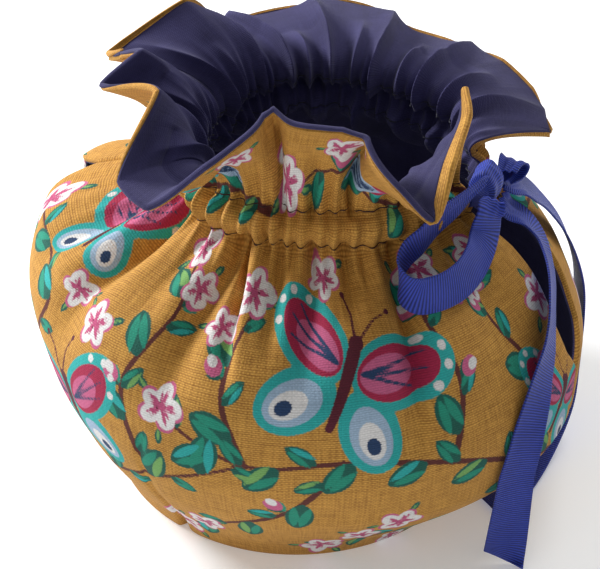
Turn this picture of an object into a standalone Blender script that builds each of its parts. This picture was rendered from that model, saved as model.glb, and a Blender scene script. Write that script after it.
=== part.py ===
"""A drawstring tea cosy: a printed outer cloth in two panels, a dark lining, and a ribbon tied in a bow.

It stands on its hem, hollow, in the round shape that it has in use. Metres, +Z up, +X toward the handle
slit, -X toward the spout hole, -Y to the front, with the origin under the middle of the box.
"""

import math

import bmesh
import bpy
import numpy as np

# Cloth sizes
OUTER_THICK = 0.0014
LINING_THICK = 0.0012
CLOTH_GAP = 0.0005
SEAM_GAP = 0.0007
LINING_LIFT = 0.0022
RUFFLE_SHIFT = 0.0015
COLUMNS = 36

# Ribbon sizes
RIBBON_WIDTH = 0.012
RIBBON_THICK = 0.0010
RIBBON_STEP = 0.0025

# Levels of the body from the hem up: height, then the radius toward handle, front, spout and back.
LEVELS = (
    # height, handle, front, spout, back
    (0.0000, 0.0580, 0.0615, 0.0600, 0.0600),
    (0.0060, 0.0630, 0.0640, 0.0620, 0.0640),
    (0.0140, 0.0730, 0.0690, 0.0640, 0.0700),
    (0.0300, 0.0860, 0.0780, 0.0700, 0.0790),
    (0.0460, 0.0865, 0.0820, 0.0780, 0.0830),
    (0.0640, 0.0800, 0.0800, 0.0835, 0.0810),
    (0.0790, 0.0710, 0.0700, 0.0800, 0.0700),
    (0.0915, 0.0585, 0.0500, 0.0500, 0.0500),
    (0.0975, 0.0525, 0.0425, 0.0345, 0.0425),
    (0.1030, 0.0530, 0.0430, 0.0335, 0.0430),
    (0.1080, 0.0505, 0.0405, 0.0305, 0.0405),
)
HEM, CASING_LOW, CASING_HIGH, RIM = 0.0, 8.0, 10.0, 11.0

# Rows of the mesh, in levels: the ruffle lies between the casing's high stitch line and the rim.
OUTER_ROWS = (0, 1, 2, 3, 3.5, 4, 4.5, 5, 5.5, 6, 6.5, 7, 8, 9, 10, 10.2, 10.4, 10.6, 10.8, 11)
LINING_ROWS = (0, 1, 2, 3, 4, 4.5, 5, 5.5, 6, 6.5, 7, 8, 9, 10, 10.2, 10.4, 10.6, 10.8, 11)

# Rim of the ruffle round the neck: where its cloth leaves the casing, where it ends, and how it rises.
RIM_LOBES = (
    # casing turn, rim turn, reach, height, rise
    (9, 15, 0.0515, 0.1387, 0.016),
    (20, 24, 0.0588, 0.1372, 0.016),
    (31, 36, 0.0670, 0.1318, 0.014),
    (42, 44, 0.0740, 0.1215, 0.010),
    (50, 49, 0.0677, 0.1290, 0.014),
    (63, 59, 0.0514, 0.1377, 0.018),
    (74, 71, 0.0477, 0.1382, 0.018),
    (82, 81, 0.0475, 0.1382, 0.018),
    (96, 94, 0.0608, 0.1310, 0.016),
    (109, 106, 0.0686, 0.1188, 0.012),
    (117, 116, 0.0669, 0.1208, 0.012),
    (132, 124, 0.0473, 0.1372, 0.016),
    (153, 153, 0.0563, 0.1282, 0.012),
    (167, 157, 0.0447, 0.1362, 0.016),
    (190, 182, 0.0620, 0.1220, 0.012),
    (214, 207, 0.0520, 0.1320, 0.014),
    (240, 228, 0.0671, 0.1135, 0.010),
    (253, 243, 0.0694, 0.1142, 0.010),
    (268, 259, 0.0696, 0.1178, 0.010),
    (278, 270, 0.0705, 0.1157, 0.010),
    (288, 279, 0.0720, 0.1102, 0.010),
    (302, 292, 0.0733, 0.1095, 0.010),
    (315, 305, 0.0753, 0.1092, 0.010),
    (326, 315, 0.0770, 0.1052, 0.010),
    (342, 329, 0.0750, 0.1010, 0.008),
    (351, 333, 0.0735, 0.1040, 0.006),
)

# Gather folds that run down from the casing: a valley's turn at the casing and at its low end.
FOLDS = (
    # turn at casing, turn at low end, level of low end, width in degrees, depth
    (19, 19, 4.6, 7, 0.0028),
    (38, 48, 4.3, 5, 0.0045),
    (55, 57, 6.3, 4, 0.0020),
    (67, 70, 5.4, 5, 0.0028),
    (80, 78, 5.8, 4, 0.0018),
    (92, 86, 5.4, 4, 0.0030),
    (95, 100, 4.6, 5, 0.0028),
    (112, 113, 5.6, 5, 0.0022),
    (129, 131, 4.6, 7, 0.0040),
    (150, 148, 5.2, 6, 0.0026),
    (200, 206, 4.8, 6, 0.0030),
    (220, 222, 5.4, 5, 0.0024),
    (238, 236, 4.6, 6, 0.0034),
    (256, 258, 5.2, 5, 0.0026),
    (275, 272, 4.5, 6, 0.0034),
    (293, 296, 5.4, 5, 0.0024),
    (312, 308, 4.8, 6, 0.0030),
    (334, 336, 5.2, 5, 0.0024),
)

# Depth of the small gathers, by level: they are tight at the casing and run out above and below it.
GATHERS = (
    # level, depth
    (5.0, 0.0),
    (6.0, 0.0004),
    (7.0, 0.0009),
    (8.0, 0.0011),
    (10.0, 0.0010),
    (10.4, 0.0005),
    (10.8, 0.0),
)

# The slit for the handle: how far its front and back edges stand from its middle, in degrees.
SLIT = (
    # level, front edge, back edge
    (4.0, 0.0, 0.0),
    (4.5, 3.5, 8.0),
    (5.0, 3.5, 11.0),
    (5.5, 2.5, 12.5),
    (6.0, 1.8, 13.0),
    (6.5, 1.8, 12.5),
    (7.0, 3.0, 11.5),
    (8.0, 7.0, 9.5),
    (9.0, 9.0, 9.0),
    (11.0, 9.0, 9.0),
)

# The round hole for the spout: half its width at each level, in degrees.
SPOUT_HOLE = (
    # level, half width
    (4.5, 0.0),
    (5.0, 8.0),
    (5.5, 10.0),
    (6.0, 8.5),
    (6.5, 0.0),
)
EDGE_REACH = 36.0

# The knot: half its depth and half its height along a bar across the slit at the casing.
KNOT_MIDDLE = (0.0548, 0.0, 0.1025)
KNOT = (
    # place across, half depth, half height
    (-0.0072, 0.0012, 0.0030),
    (-0.0056, 0.0016, 0.0036),
    (-0.0046, 0.0034, 0.0056),
    (-0.0020, 0.0042, 0.0064),
    (0.0020, 0.0042, 0.0064),
    (0.0046, 0.0034, 0.0056),
    (0.0056, 0.0016, 0.0036),
    (0.0072, 0.0012, 0.0030),
)
KNOT_SIDES = 10

# Ribbon routes, placed by hand: the middle of the ribbon, the way its width points, and how much of
# its width lies open, since it is drawn together at the knot.
FRONT_LOOP = (
    # x, y, z, width x, width y, width z, open
    (0.0590, -0.0075, 0.1030, 0.40, 0.85, 0.30, 0.50),
    (0.0590, -0.0105, 0.1010, 0.42, 0.88, 0.10, 0.85),
    (0.0585, -0.0120, 0.0980, 0.45, 0.85, -0.20, 1.00),
    (0.0585, -0.0135, 0.0950, 0.49, 0.66, -0.56, 1.00),
    (0.0585, -0.0175, 0.0930, 0.48, 0.30, -0.82, 1.00),
    (0.0585, -0.0240, 0.0920, 0.36, 0.10, -0.92, 1.00),
    (0.0565, -0.0330, 0.0910, 0.20, 0.05, -0.97, 1.00),
    (0.0525, -0.0390, 0.0905, 0.08, 0.05, -0.99, 1.00),
    (0.0480, -0.0420, 0.0905, 0.02, 0.05, -1.00, 1.00),
    (0.0445, -0.0420, 0.0920, 0.00, 0.12, -0.99, 1.00),
    (0.0420, -0.0390, 0.0950, 0.00, 0.22, -0.97, 1.00),
    (0.0425, -0.0355, 0.0985, -0.02, 0.32, -0.94, 1.00),
    (0.0455, -0.0315, 0.1015, -0.05, 0.38, -0.92, 1.00),
    (0.0480, -0.0250, 0.1040, -0.08, 0.40, -0.91, 1.00),
    (0.0515, -0.0190, 0.1060, -0.10, 0.42, -0.90, 0.90),
    (0.0545, -0.0130, 0.1080, -0.12, 0.45, -0.88, 0.65),
    (0.0565, -0.0080, 0.1090, -0.15, 0.50, -0.85, 0.40),
)
BACK_LOOP = (
    # x, y, z, width x, width y, width z, open
    (0.0590, 0.0072, 0.1040, 0.95, -0.25, 0.10, 0.45),
    (0.0592, 0.0105, 0.1052, 0.95, -0.30, 0.10, 0.60),
    (0.0596, 0.0138, 0.1046, 0.95, -0.30, 0.00, 0.75),
    (0.0598, 0.0152, 0.1027, 0.95, -0.30, 0.00, 0.80),
    (0.0596, 0.0138, 0.1008, 0.95, -0.30, 0.00, 0.75),
    (0.0592, 0.0105, 0.1001, 0.95, -0.30, -0.10, 0.60),
    (0.0590, 0.0074, 0.1006, 0.95, -0.25, -0.10, 0.45),
)
FRONT_TAIL = (
    # x, y, z, width x, width y, width z, open
    (0.0592, 0.0022, 0.0980, -0.30, -0.95, 0.05, 0.40),
    (0.0603, 0.0042, 0.0945, -0.15, -0.97, 0.15, 0.55),
    (0.0620, 0.0080, 0.0910, 0.00, -0.97, 0.22, 0.75),
    (0.0655, 0.0105, 0.0875, 0.05, -0.96, 0.25, 1.00),
    (0.0700, 0.0090, 0.0835, 0.02, -0.90, 0.40, 1.00),
    (0.0735, 0.0045, 0.0800, -0.02, -0.80, 0.58, 1.00),
    (0.0765, -0.0020, 0.0770, -0.04, -0.70, 0.70, 1.00),
    (0.0785, -0.0085, 0.0735, -0.04, -0.65, 0.75, 1.00),
    (0.0800, -0.0140, 0.0695, -0.06, -0.64, 0.76, 1.00),
    (0.0810, -0.0195, 0.0650, -0.14, -0.64, 0.75, 1.00),
    (0.0810, -0.0250, 0.0600, -0.28, -0.68, 0.68, 1.00),
    (0.0810, -0.0300, 0.0550, -0.43, -0.70, 0.56, 1.00),
    (0.0805, -0.0340, 0.0490, -0.55, -0.72, 0.42, 1.00),
    (0.0800, -0.0375, 0.0420, -0.64, -0.72, 0.28, 1.00),
    (0.0790, -0.0395, 0.0340, -0.70, -0.68, 0.18, 1.00),
    (0.0785, -0.0405, 0.0230, -0.78, -0.60, 0.08, 1.00),
    (0.0780, -0.0405, 0.0120, -0.88, -0.42, 0.00, 1.00),
    (0.0775, -0.0405, 0.0012, -0.96, -0.20, 0.00, 1.00),
)
BACK_TAIL = (
    # x, y, z, width x, width y, width z, open
    (0.0574, 0.0086, 0.0986, 0.85, -0.10, -0.50, 0.35),
    (0.0590, 0.0110, 0.0970, 0.85, -0.10, -0.50, 0.50),
    (0.0605, 0.0165, 0.0950, 0.78, -0.30, -0.50, 0.80),
    (0.0620, 0.0220, 0.0910, 0.68, -0.55, -0.40, 1.00),
    (0.0640, 0.0270, 0.0865, 0.58, -0.75, -0.20, 1.00),
    (0.0675, 0.0320, 0.0795, 0.50, -0.85, -0.05, 1.00),
    (0.0715, 0.0360, 0.0715, 0.45, -0.89, 0.00, 1.00),
    (0.0750, 0.0390, 0.0620, 0.45, -0.89, 0.00, 1.00),
    (0.0780, 0.0410, 0.0500, 0.46, -0.89, 0.00, 1.00),
    (0.0790, 0.0410, 0.0380, 0.48, -0.88, 0.00, 1.00),
    (0.0790, 0.0400, 0.0265, 0.52, -0.85, 0.05, 1.00),
    (0.0785, 0.0355, 0.0160, 0.68, -0.65, 0.30, 1.00),
    (0.0780, 0.0260, 0.0085, 0.88, -0.25, 0.38, 1.00),
    (0.0760, 0.0130, 0.0036, 0.97, 0.05, 0.20, 1.00),
    (0.0730, -0.0040, 0.0012, 0.97, 0.22, 0.02, 1.00),
    (0.0685, -0.0200, 0.0012, 0.94, 0.34, 0.00, 1.00),
)

# Finishes: colour, roughness
PRINTED_CLOTH = ("printed_cloth", (0.64, 0.40, 0.09, 1.0), 0.9)
DARK_LINING = ("dark_lining", (0.055, 0.05, 0.12, 1.0), 0.9)
RIBBED_RIBBON = ("ribbed_ribbon", (0.03, 0.035, 0.20, 1.0), 0.6)


def material(name, colour, roughness):
    """One Principled finish."""
    made = bpy.data.materials.new(name)
    made.use_nodes = True
    shader = made.node_tree.nodes["Principled BSDF"]
    shader.inputs["Base Color"].default_value = colour
    shader.inputs["Roughness"].default_value = roughness
    shader.inputs["Metallic"].default_value = 0.0
    return made


def slopes(places, rows):
    """Step lengths and rises between the rows of a table."""
    steps = np.diff(places)[:, None]
    return steps, np.diff(rows, axis=0) / steps


def hermite(places, rows, tangents, at):
    """The rows joined by cubic pieces with the given tangents, read at each place in at."""
    steps, _ = slopes(places, rows)
    at = np.asarray(at, float)
    k = np.clip(np.searchsorted(places, at, side="right") - 1, 0, len(places) - 2)
    t = ((at - places[k]) / steps[k, 0])[..., None]
    h = steps[k]
    start = (1 + 2 * t) * (1 - t) ** 2 * rows[k] + t * (1 - t) ** 2 * h * tangents[k]
    end = t * t * (3 - 2 * t) * rows[k + 1] + t * t * (t - 1) * h * tangents[k + 1]
    return start + end


def steady(places, rows, at):
    """A smooth curve through the rows that never passes beyond them."""
    places, rows = np.asarray(places, float), np.asarray(rows, float)
    _, rise = slopes(places, rows)
    tangents = np.zeros_like(rows)
    tangents[0], tangents[-1] = rise[0], rise[-1]
    same = rise[1:] * rise[:-1] > 0
    total = np.where(same, rise[1:] + rise[:-1], 1.0)
    tangents[1:-1] = np.where(same, 2 * rise[1:] * rise[:-1] / total, 0.0)
    return hermite(places, rows, tangents, at)


def flowing(places, rows, at):
    """A smooth curve through the rows that swings freely between them."""
    places, rows = np.asarray(places, float), np.asarray(rows, float)
    steps, rise = slopes(places, rows)
    tangents = np.zeros_like(rows)
    tangents[0], tangents[-1] = rise[0], rise[-1]
    tangents[1:-1] = (rise[1:] * steps[:-1] + rise[:-1] * steps[1:]) / (steps[1:] + steps[:-1])
    return hermite(places, rows, tangents, at)


def read(table, at):
    """The second column and on of a table, read straight between its rows."""
    table = np.asarray(table, float)
    return np.stack([np.interp(at, table[:, 0], column) for column in table[:, 1:].T], -1)


def around(turn, reach, height):
    """A point at a turn in radians from the handle by way of the front."""
    return np.stack([reach * np.cos(turn), -reach * np.sin(turn), height], -1)


def body(turn, level):
    """The body's smooth shape under its folds."""
    rows = steady(range(len(LEVELS)), LEVELS, level)
    cos, sin = np.cos(turn), np.sin(turn)
    side = np.where(cos >= 0, rows[..., 1], rows[..., 3])
    face = np.where(sin >= 0, rows[..., 2], rows[..., 4])
    return around(turn, side * cos**2 + face * sin**2, rows[..., 0])


def rim(turn):
    """The rim's points and the rise of the ruffle there."""
    lobes = np.array(RIM_LOBES)
    points = around(np.radians(lobes[:, 1]), lobes[:, 2], lobes[:, 3])
    read_rim = flowing(lobes[:, 0], np.column_stack([points, lobes[:, 4]]), np.degrees(turn))
    return read_rim[..., :3], read_rim[..., 3:]


def base(turn, level):
    """The cloth without its folds, from the hem to the rim."""
    low = body(turn, np.minimum(level, CASING_HIGH))
    along = np.clip(level - CASING_HIGH, 0, 1)[..., None]
    edge, rise = rim(turn)
    start = body(turn, np.full_like(turn, CASING_HIGH))
    bend = start + rise * np.array([0.0, 0.0, 1.0])
    ruffle = (1 - along) ** 2 * start + 2 * along * (1 - along) * bend + along**2 * edge
    return np.where(level[..., None] <= CASING_HIGH, low, ruffle)


def outward(turn, level):
    """Unit vectors square to the smooth cloth, level at the hem."""
    small = 0.001
    across = base(turn + small, level) - base(turn - small, level)
    up = base(turn, np.minimum(level + small, RIM)) - base(turn, np.maximum(level - small, HEM))
    way = np.cross(across, up)
    way[level == HEM, 2] = 0.0
    way *= np.sign((way * around(turn, 1.0, np.zeros_like(turn))).sum(-1, keepdims=True).mean())
    return way / np.linalg.norm(way, axis=-1, keepdims=True)


def fold_depth(turn, level):
    """How far the folds push the cloth in."""
    degrees = np.degrees(turn)
    total = np.zeros_like(turn)
    for top_turn, low_turn, low_level, width, depth in FOLDS:
        down = np.clip((CASING_LOW - level) / (CASING_LOW - low_level), 0, 1)
        middle = top_turn + (low_turn - top_turn) * down
        wide = width * (0.6 + 0.8 * down)
        strength = np.where(level <= CASING_LOW, np.sin(np.pi * np.clip(0.25 + 0.75 * down, 0, 1)), 0)
        total += depth * strength * np.exp(-(((degrees - middle) / wide) ** 2))
    return total


def cloth(turn, level, column, depth):
    """Points of the cloth at a depth under its outer face."""
    gathers = read(GATHERS, level)[..., 0] * np.where(column % 2 == 0, 1.0, -1.0)
    shift = RUFFLE_SHIFT * np.clip(level - CASING_HIGH, 0, 1)
    push = gathers + shift - fold_depth(turn, level) - depth
    points = base(turn, level) + outward(turn, level) * push[..., None]
    points[level == HEM, 2] = 0.0
    return points


def panel_turns(rows, back, gap):
    """The turn of each point of a panel, with its edges drawn aside at the slit and the spout hole."""
    level = np.repeat(np.array(rows, float)[:, None], COLUMNS + 1, axis=1)
    flat = np.repeat(np.linspace(0, 180, COLUMNS + 1)[None, :], len(rows), axis=0)
    slit = np.maximum(read(SLIT, level)[..., 1 if back else 0], gap)
    hole = np.maximum(read(SPOUT_HOLE, level)[..., 0], gap)
    from_slit = np.clip(1 - flat / EDGE_REACH, 0, 1) ** 2
    from_hole = np.clip(1 - (180 - flat) / EDGE_REACH, 0, 1) ** 2
    degrees = flat + slit * from_slit - hole * from_hole
    return np.radians(360 - degrees if back else degrees), level


def panel_points(rows, back, gap, depth, lift=0.0):
    """A panel's grid of points at one depth."""
    turn, level = panel_turns(rows, back, gap)
    column = np.repeat(np.arange(COLUMNS + 1)[None, :], len(rows), axis=0)
    points = cloth(turn, level, column, depth)
    points[level == HEM, 2] = lift
    return points


def shell(name, outer, inner, quads, finish):
    """One closed sheet from its outer and inner points and the quads of its outer face."""
    mesh = bmesh.new()
    top = [mesh.verts.new(p) for p in outer]
    under = [mesh.verts.new(p) for p in inner]
    edges = {}
    for quad in quads:
        mesh.faces.new([top[i] for i in quad])
        mesh.faces.new([under[i] for i in reversed(quad)])
        for a, b in zip(quad, quad[1:] + quad[:1]):
            edges[(a, b)] = edges.get((a, b), 0) + 1
    for a, b in edges:
        if (b, a) not in edges:
            mesh.faces.new([top[b], top[a], under[a], under[b]])
    bmesh.ops.delete(mesh, geom=[v for v in mesh.verts if not v.link_faces], context="VERTS")
    return finished(name, mesh, finish)


def finished(name, mesh, finish):
    """Turns a bmesh of triangles and quads into a named object."""
    bmesh.ops.triangulate(mesh, faces=mesh.faces[:])
    bmesh.ops.recalc_face_normals(mesh, faces=mesh.faces[:])
    data = bpy.data.meshes.new(name)
    mesh.to_mesh(data)
    mesh.free()
    data.materials.append(finish)
    data.shade_smooth()
    made = bpy.data.objects.new(name, data)
    bpy.context.scene.collection.objects.link(made)
    return made


def grid_quads(row_count, numbers):
    """Quads of a grid whose points have the given numbers, row by row."""
    quads = []
    for r in range(row_count - 1):
        for c in range(COLUMNS):
            quads.append([numbers[r][c], numbers[r + 1][c], numbers[r + 1][c + 1], numbers[r][c + 1]])
    return quads


def make_panel(name, back, finish):
    """One printed panel, front or back."""
    half_gap = math.degrees(SEAM_GAP / 2 / LEVELS[0][1])
    sheets = [panel_points(OUTER_ROWS, back, half_gap, depth) for depth in (0.0, OUTER_THICK)]
    numbers = np.arange(sheets[0][..., 0].size).reshape(len(OUTER_ROWS), COLUMNS + 1).tolist()
    quads = grid_quads(len(OUTER_ROWS), numbers)
    return shell(name, sheets[0].reshape(-1, 3), sheets[1].reshape(-1, 3), quads, finish)


def make_lining(finish):
    """The lining, both halves joined where the slit and the hole are shut."""
    depths = (OUTER_THICK + CLOTH_GAP, OUTER_THICK + CLOTH_GAP + LINING_THICK)
    count = len(LINING_ROWS) * (COLUMNS + 1)
    front = np.arange(count).reshape(len(LINING_ROWS), COLUMNS + 1)
    back = front + count
    slit_open = read(SLIT, np.array(LINING_ROWS, float))[:, 0] > 0
    hole_open = read(SPOUT_HOLE, np.array(LINING_ROWS, float))[:, 0] > 0
    back[~slit_open, 0] = front[~slit_open, 0]
    back[~hole_open, COLUMNS] = front[~hole_open, COLUMNS]
    layers = []
    for depth in depths:
        halves = [panel_points(LINING_ROWS, side, 0.0, depth, LINING_LIFT) for side in (False, True)]
        layers.append(np.concatenate([half.reshape(-1, 3) for half in halves]))
    front_quads = grid_quads(len(LINING_ROWS), front.tolist())
    back_quads = [quad[::-1] for quad in grid_quads(len(LINING_ROWS), back.tolist())]
    return shell("lining", layers[0], layers[1], front_quads + back_quads, finish)


def make_ribbon(name, route, finish):
    """A flat ribbon swept along its route."""
    route = np.array(route)
    steps = np.linalg.norm(np.diff(route[:, :3], axis=0), axis=1)
    along = np.concatenate([[0.0], np.cumsum(steps)])
    count = max(2, round(along[-1] / RIBBON_STEP) + 1)
    rows = flowing(along, route, np.linspace(0, along[-1], count))
    middle = rows[:, :3]
    ahead = np.gradient(middle, axis=0)
    ahead /= np.linalg.norm(ahead, axis=1, keepdims=True)
    width = rows[:, 3:6] - (rows[:, 3:6] * ahead).sum(1, keepdims=True) * ahead
    width /= np.linalg.norm(width, axis=1, keepdims=True)
    facing = np.cross(ahead, width)
    mesh = bmesh.new()
    rings = []
    for point, wide, face, spread in zip(middle, width, facing, rows[:, 6]):
        corners = [(-1, -1), (1, -1), (1, 1), (-1, 1)]
        half = (min(spread, 1.0) * RIBBON_WIDTH / 2, RIBBON_THICK / 2)
        ring = [mesh.verts.new(point + a * half[0] * wide + b * half[1] * face) for a, b in corners]
        rings.append(ring)
    for one, two in zip(rings, rings[1:]):
        for k in range(4):
            mesh.faces.new([one[k], one[(k + 1) % 4], two[(k + 1) % 4], two[k]])
    mesh.faces.new(rings[0][::-1])
    mesh.faces.new(rings[-1])
    return finished(name, mesh, finish)


def make_knot(finish):
    """The knot, a rounded lump with an arm toward each end of the casing."""
    mesh = bmesh.new()
    rings = []
    for across, depth, height in KNOT:
        ring = []
        for k in range(KNOT_SIDES):
            angle = 2 * math.pi * k / KNOT_SIDES
            x = KNOT_MIDDLE[0] + depth * math.cos(angle)
            z = KNOT_MIDDLE[2] + height * math.sin(angle)
            ring.append(mesh.verts.new((x, KNOT_MIDDLE[1] + across, z)))
        rings.append(ring)
    for one, two in zip(rings, rings[1:]):
        for k in range(KNOT_SIDES):
            after = (k + 1) % KNOT_SIDES
            mesh.faces.new([one[k], one[after], two[after], two[k]])
    mesh.faces.new(rings[0][::-1])
    mesh.faces.new(rings[-1])
    return finished("ribbon_knot", mesh, finish)


def centre_on_floor(objects):
    """Moves the meshes so that the origin lies under the middle of their box."""
    corners = np.array([v.co for made in objects for v in made.data.vertices])
    low, high = corners.min(0), corners.max(0)
    shift = ((low[0] + high[0]) / 2, (low[1] + high[1]) / 2, low[2])
    for made in objects:
        for vertex in made.data.vertices:
            vertex.co = [vertex.co[k] - shift[k] for k in range(3)]


def main():
    """Builds every piece."""
    for old in list(bpy.data.objects):
        bpy.data.objects.remove(old)
    printed = material(*PRINTED_CLOTH)
    dark = material(*DARK_LINING)
    ribbon = material(*RIBBED_RIBBON)
    pieces = [
        make_panel("outer_front", False, printed),
        make_panel("outer_back", True, printed),
        make_lining(dark),
        make_knot(ribbon),
        make_ribbon("ribbon_loop_front", FRONT_LOOP, ribbon),
        make_ribbon("ribbon_loop_back", BACK_LOOP, ribbon),
        make_ribbon("ribbon_tail_front", FRONT_TAIL, ribbon),
        make_ribbon("ribbon_tail_back", BACK_TAIL, ribbon),
    ]
    centre_on_floor(pieces)


main()
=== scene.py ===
# %% [markdown]
# A drawstring tea cosy: a printed outer cloth in two panels, a navy lining, and a grosgrain ribbon that
# closes the neck and is tied in a bow over the handle slit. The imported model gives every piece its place,
# so it is loaded first, and each piece below is built in its frame: metres, +Z up, +X toward the handle
# slit, -Y to the front.

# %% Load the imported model
import math

import bmesh
import bpy
import numpy as np
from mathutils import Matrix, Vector


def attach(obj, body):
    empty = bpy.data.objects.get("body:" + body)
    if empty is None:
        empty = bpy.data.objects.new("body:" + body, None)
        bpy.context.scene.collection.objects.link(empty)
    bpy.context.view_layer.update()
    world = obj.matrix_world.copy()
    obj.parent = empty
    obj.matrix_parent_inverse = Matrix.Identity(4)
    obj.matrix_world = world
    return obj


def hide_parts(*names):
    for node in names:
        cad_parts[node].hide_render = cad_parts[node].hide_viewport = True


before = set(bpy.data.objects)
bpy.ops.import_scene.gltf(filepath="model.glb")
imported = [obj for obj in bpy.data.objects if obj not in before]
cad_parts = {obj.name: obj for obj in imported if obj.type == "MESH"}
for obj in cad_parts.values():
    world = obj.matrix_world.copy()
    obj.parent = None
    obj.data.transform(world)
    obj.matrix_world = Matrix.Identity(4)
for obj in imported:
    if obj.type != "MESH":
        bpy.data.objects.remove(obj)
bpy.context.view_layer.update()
print("nodes", sorted(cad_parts))

# %% [markdown]
# The cosy is seen from the front, a little toward its handle side and from well above, through a long
# lens. The camera comes first, since all that follows is judged through it. A long lens keeps the round
# body from looking swollen.

# %% Camera
CAMERA_PLACE = Vector((0.1372, -0.3855, 0.3418))
CAMERA_AIM = Vector((-0.0029, -0.0007, 0.0550))
LENS_MM = 97.2

camera_data = bpy.data.cameras.new("camera")
camera_data.lens = LENS_MM
camera_data.sensor_width = 36.0
camera_data.sensor_fit = "HORIZONTAL"
camera_data.clip_start = 0.01
camera = bpy.data.objects.new("camera", camera_data)
camera.location = CAMERA_PLACE
camera.rotation_euler = (CAMERA_AIM - CAMERA_PLACE).to_track_quat("-Z", "Y").to_euler()
bpy.context.scene.collection.objects.link(camera)
bpy.context.scene.camera = camera
bpy.context.scene.view_settings.view_transform = "Standard"
print("camera", tuple(round(v, 3) for v in camera.location))

# %% [markdown]
# Shader maths reads best as plain sums. One small class wraps a socket, so that mask * 2 + 1 adds its own
# Math nodes, and one Finish class makes a material with one method for every other kind of node. Colours
# go through Mix, because a Math node would turn them grey.


# %% Sums on sockets
class Value:
    """A number in a shader that takes part in sums."""

    def __init__(self, finish, socket):
        self.finish = finish
        self.socket = socket

    def sum_of(self, operation, first, second=0.0):
        return self.finish.node("ShaderNodeMath", {"operation": operation}, {0: first, 1: second})

    def __add__(self, other):
        return self.sum_of("ADD", self, other)

    def __sub__(self, other):
        return self.sum_of("SUBTRACT", self, other)

    def __rsub__(self, other):
        return self.sum_of("SUBTRACT", other, self)

    def __mul__(self, other):
        return self.sum_of("MULTIPLY", self, other)

    __radd__ = __add__
    __rmul__ = __mul__

    def sine(self):
        return self.sum_of("SINE", self)

    def kept(self):
        """The number held between 0 and 1."""
        return self.sum_of("MINIMUM", self.sum_of("MAXIMUM", self, 0.0), 1.0)


class Finish:
    """One material and the nodes in it."""

    def __init__(self, name):
        self.material = bpy.data.materials.new(name)
        self.material.use_nodes = True
        self.tree = self.material.node_tree
        self.shader = self.tree.nodes["Principled BSDF"]

    def join(self, socket, given):
        """Sets a socket's value, or links it to a Value."""
        if isinstance(given, Value):
            self.tree.links.new(given.socket, socket)
        else:
            socket.default_value = given

    def node(self, kind, settings, inputs, output=0):
        """Any node: its type, its settings, its sockets, and which of its outputs is wanted."""
        made = self.tree.nodes.new(kind)
        for name, setting in settings.items():
            setattr(made, name, setting)
        for key, given in inputs.items():
            self.join(made.inputs[key], given)
        return Value(self, made.outputs[output])

    def blend(self, mask, under, over):
        """The colour over on top of the colour under, where the mask is 1."""
        settings = {"data_type": "RGBA"}
        return self.node("ShaderNodeMix", settings, {0: mask, 6: under, 7: over}, 2)

    def place(self, name, stretch=(1.0, 1.0, 1.0)):
        """The flat place on the cloth, in millimetres, kept in a UV map."""
        flat = self.node("ShaderNodeUVMap", {"uv_map": name}, {})
        return self.node("ShaderNodeVectorMath", {"operation": "MULTIPLY"}, {0: flat, 1: stretch})

    def parts(self, vector):
        """The first two numbers of a vector."""
        split = [self.node("ShaderNodeSeparateXYZ", {}, {0: vector}, k) for k in (0, 1)]
        return split[0], split[1]

    def noise(self, vector, scale, detail=2.0, roughness=0.5):
        return self.node(
            "ShaderNodeTexNoise",
            {},
            {"Vector": vector, "Scale": scale, "Detail": detail, "Roughness": roughness},
        )

    def painted(self, name):
        """A number stored at the points of the mesh."""
        return self.node("ShaderNodeAttribute", {"attribute_name": name}, {}, "Fac")

    def finish(self, colour, roughness, height=None, lift=0.0001, strength=1.0):
        """Joins up the shader."""
        self.join(self.shader.inputs["Base Color"], colour)
        self.join(self.shader.inputs["Roughness"], roughness)
        if height is not None:
            settings = {"Height": height, "Strength": strength, "Distance": lift}
            bump = self.node("ShaderNodeBump", {}, settings, "Normal")
            self.join(self.shader.inputs["Normal"], bump)
        return self.material


print("shader sums ready")

# %% [markdown]
# The floor is a plain pale sheet, large enough to fill every view, and it glows a little like a light
# table. It is a mesh of its own, not attached to any body of the object.

# %% Floor
FLOOR_HALF = 3.0
FLOOR_HEIGHT = -0.0003
FLOOR_GLOW = 0.22
floor_mesh = bpy.data.meshes.new("floor")
floor_signs = ((-1, -1), (1, -1), (1, 1), (-1, 1))
floor_corners = [(FLOOR_HALF * x, FLOOR_HALF * y, FLOOR_HEIGHT) for x, y in floor_signs]
floor_mesh.from_pydata(floor_corners, [], [(0, 1, 2, 3)])
floor = bpy.data.objects.new("floor", floor_mesh)
bpy.context.scene.collection.objects.link(floor)
floor_finish = Finish("floor_pale")
floor_flat = floor_finish.node("ShaderNodeTexCoord", {}, {}, "Object")
floor_tone = floor_finish.noise(floor_flat, 2.0) * 0.02 + 0.86
floor_tones = {0: floor_tone, 1: floor_tone, 2: floor_tone}
floor_colour = floor_finish.node("ShaderNodeCombineColor", {}, floor_tones)
floor_finish.shader.inputs["Emission Color"].default_value = (1.0, 1.0, 1.0, 1.0)
floor_finish.shader.inputs["Emission Strength"].default_value = FLOOR_GLOW
floor_mesh.materials.append(floor_finish.finish(floor_colour, 0.85))
print("floor", 2 * FLOOR_HALF, "m wide")

# %% [markdown]
# Studio light for cloth is large and soft. A window stands high at the left, so the folds shade toward
# the right, and two weak lights fill the front and the inside of the ruffle. A pale world and the bright
# table fill what is left.

# %% Lights
LIGHTS = (
    # name, place, width, power
    ("window", (-1.00, 0.12, 0.66), 0.45, 20.0),
    ("front", (-0.30, -1.00, 0.45), 0.80, 0.8),
    ("behind", (0.22, 0.70, 0.95), 0.60, 6.0),
)
LIGHTS_AIM = Vector((0.0, 0.0, 0.06))
WORLD_POWER = 0.33

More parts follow.
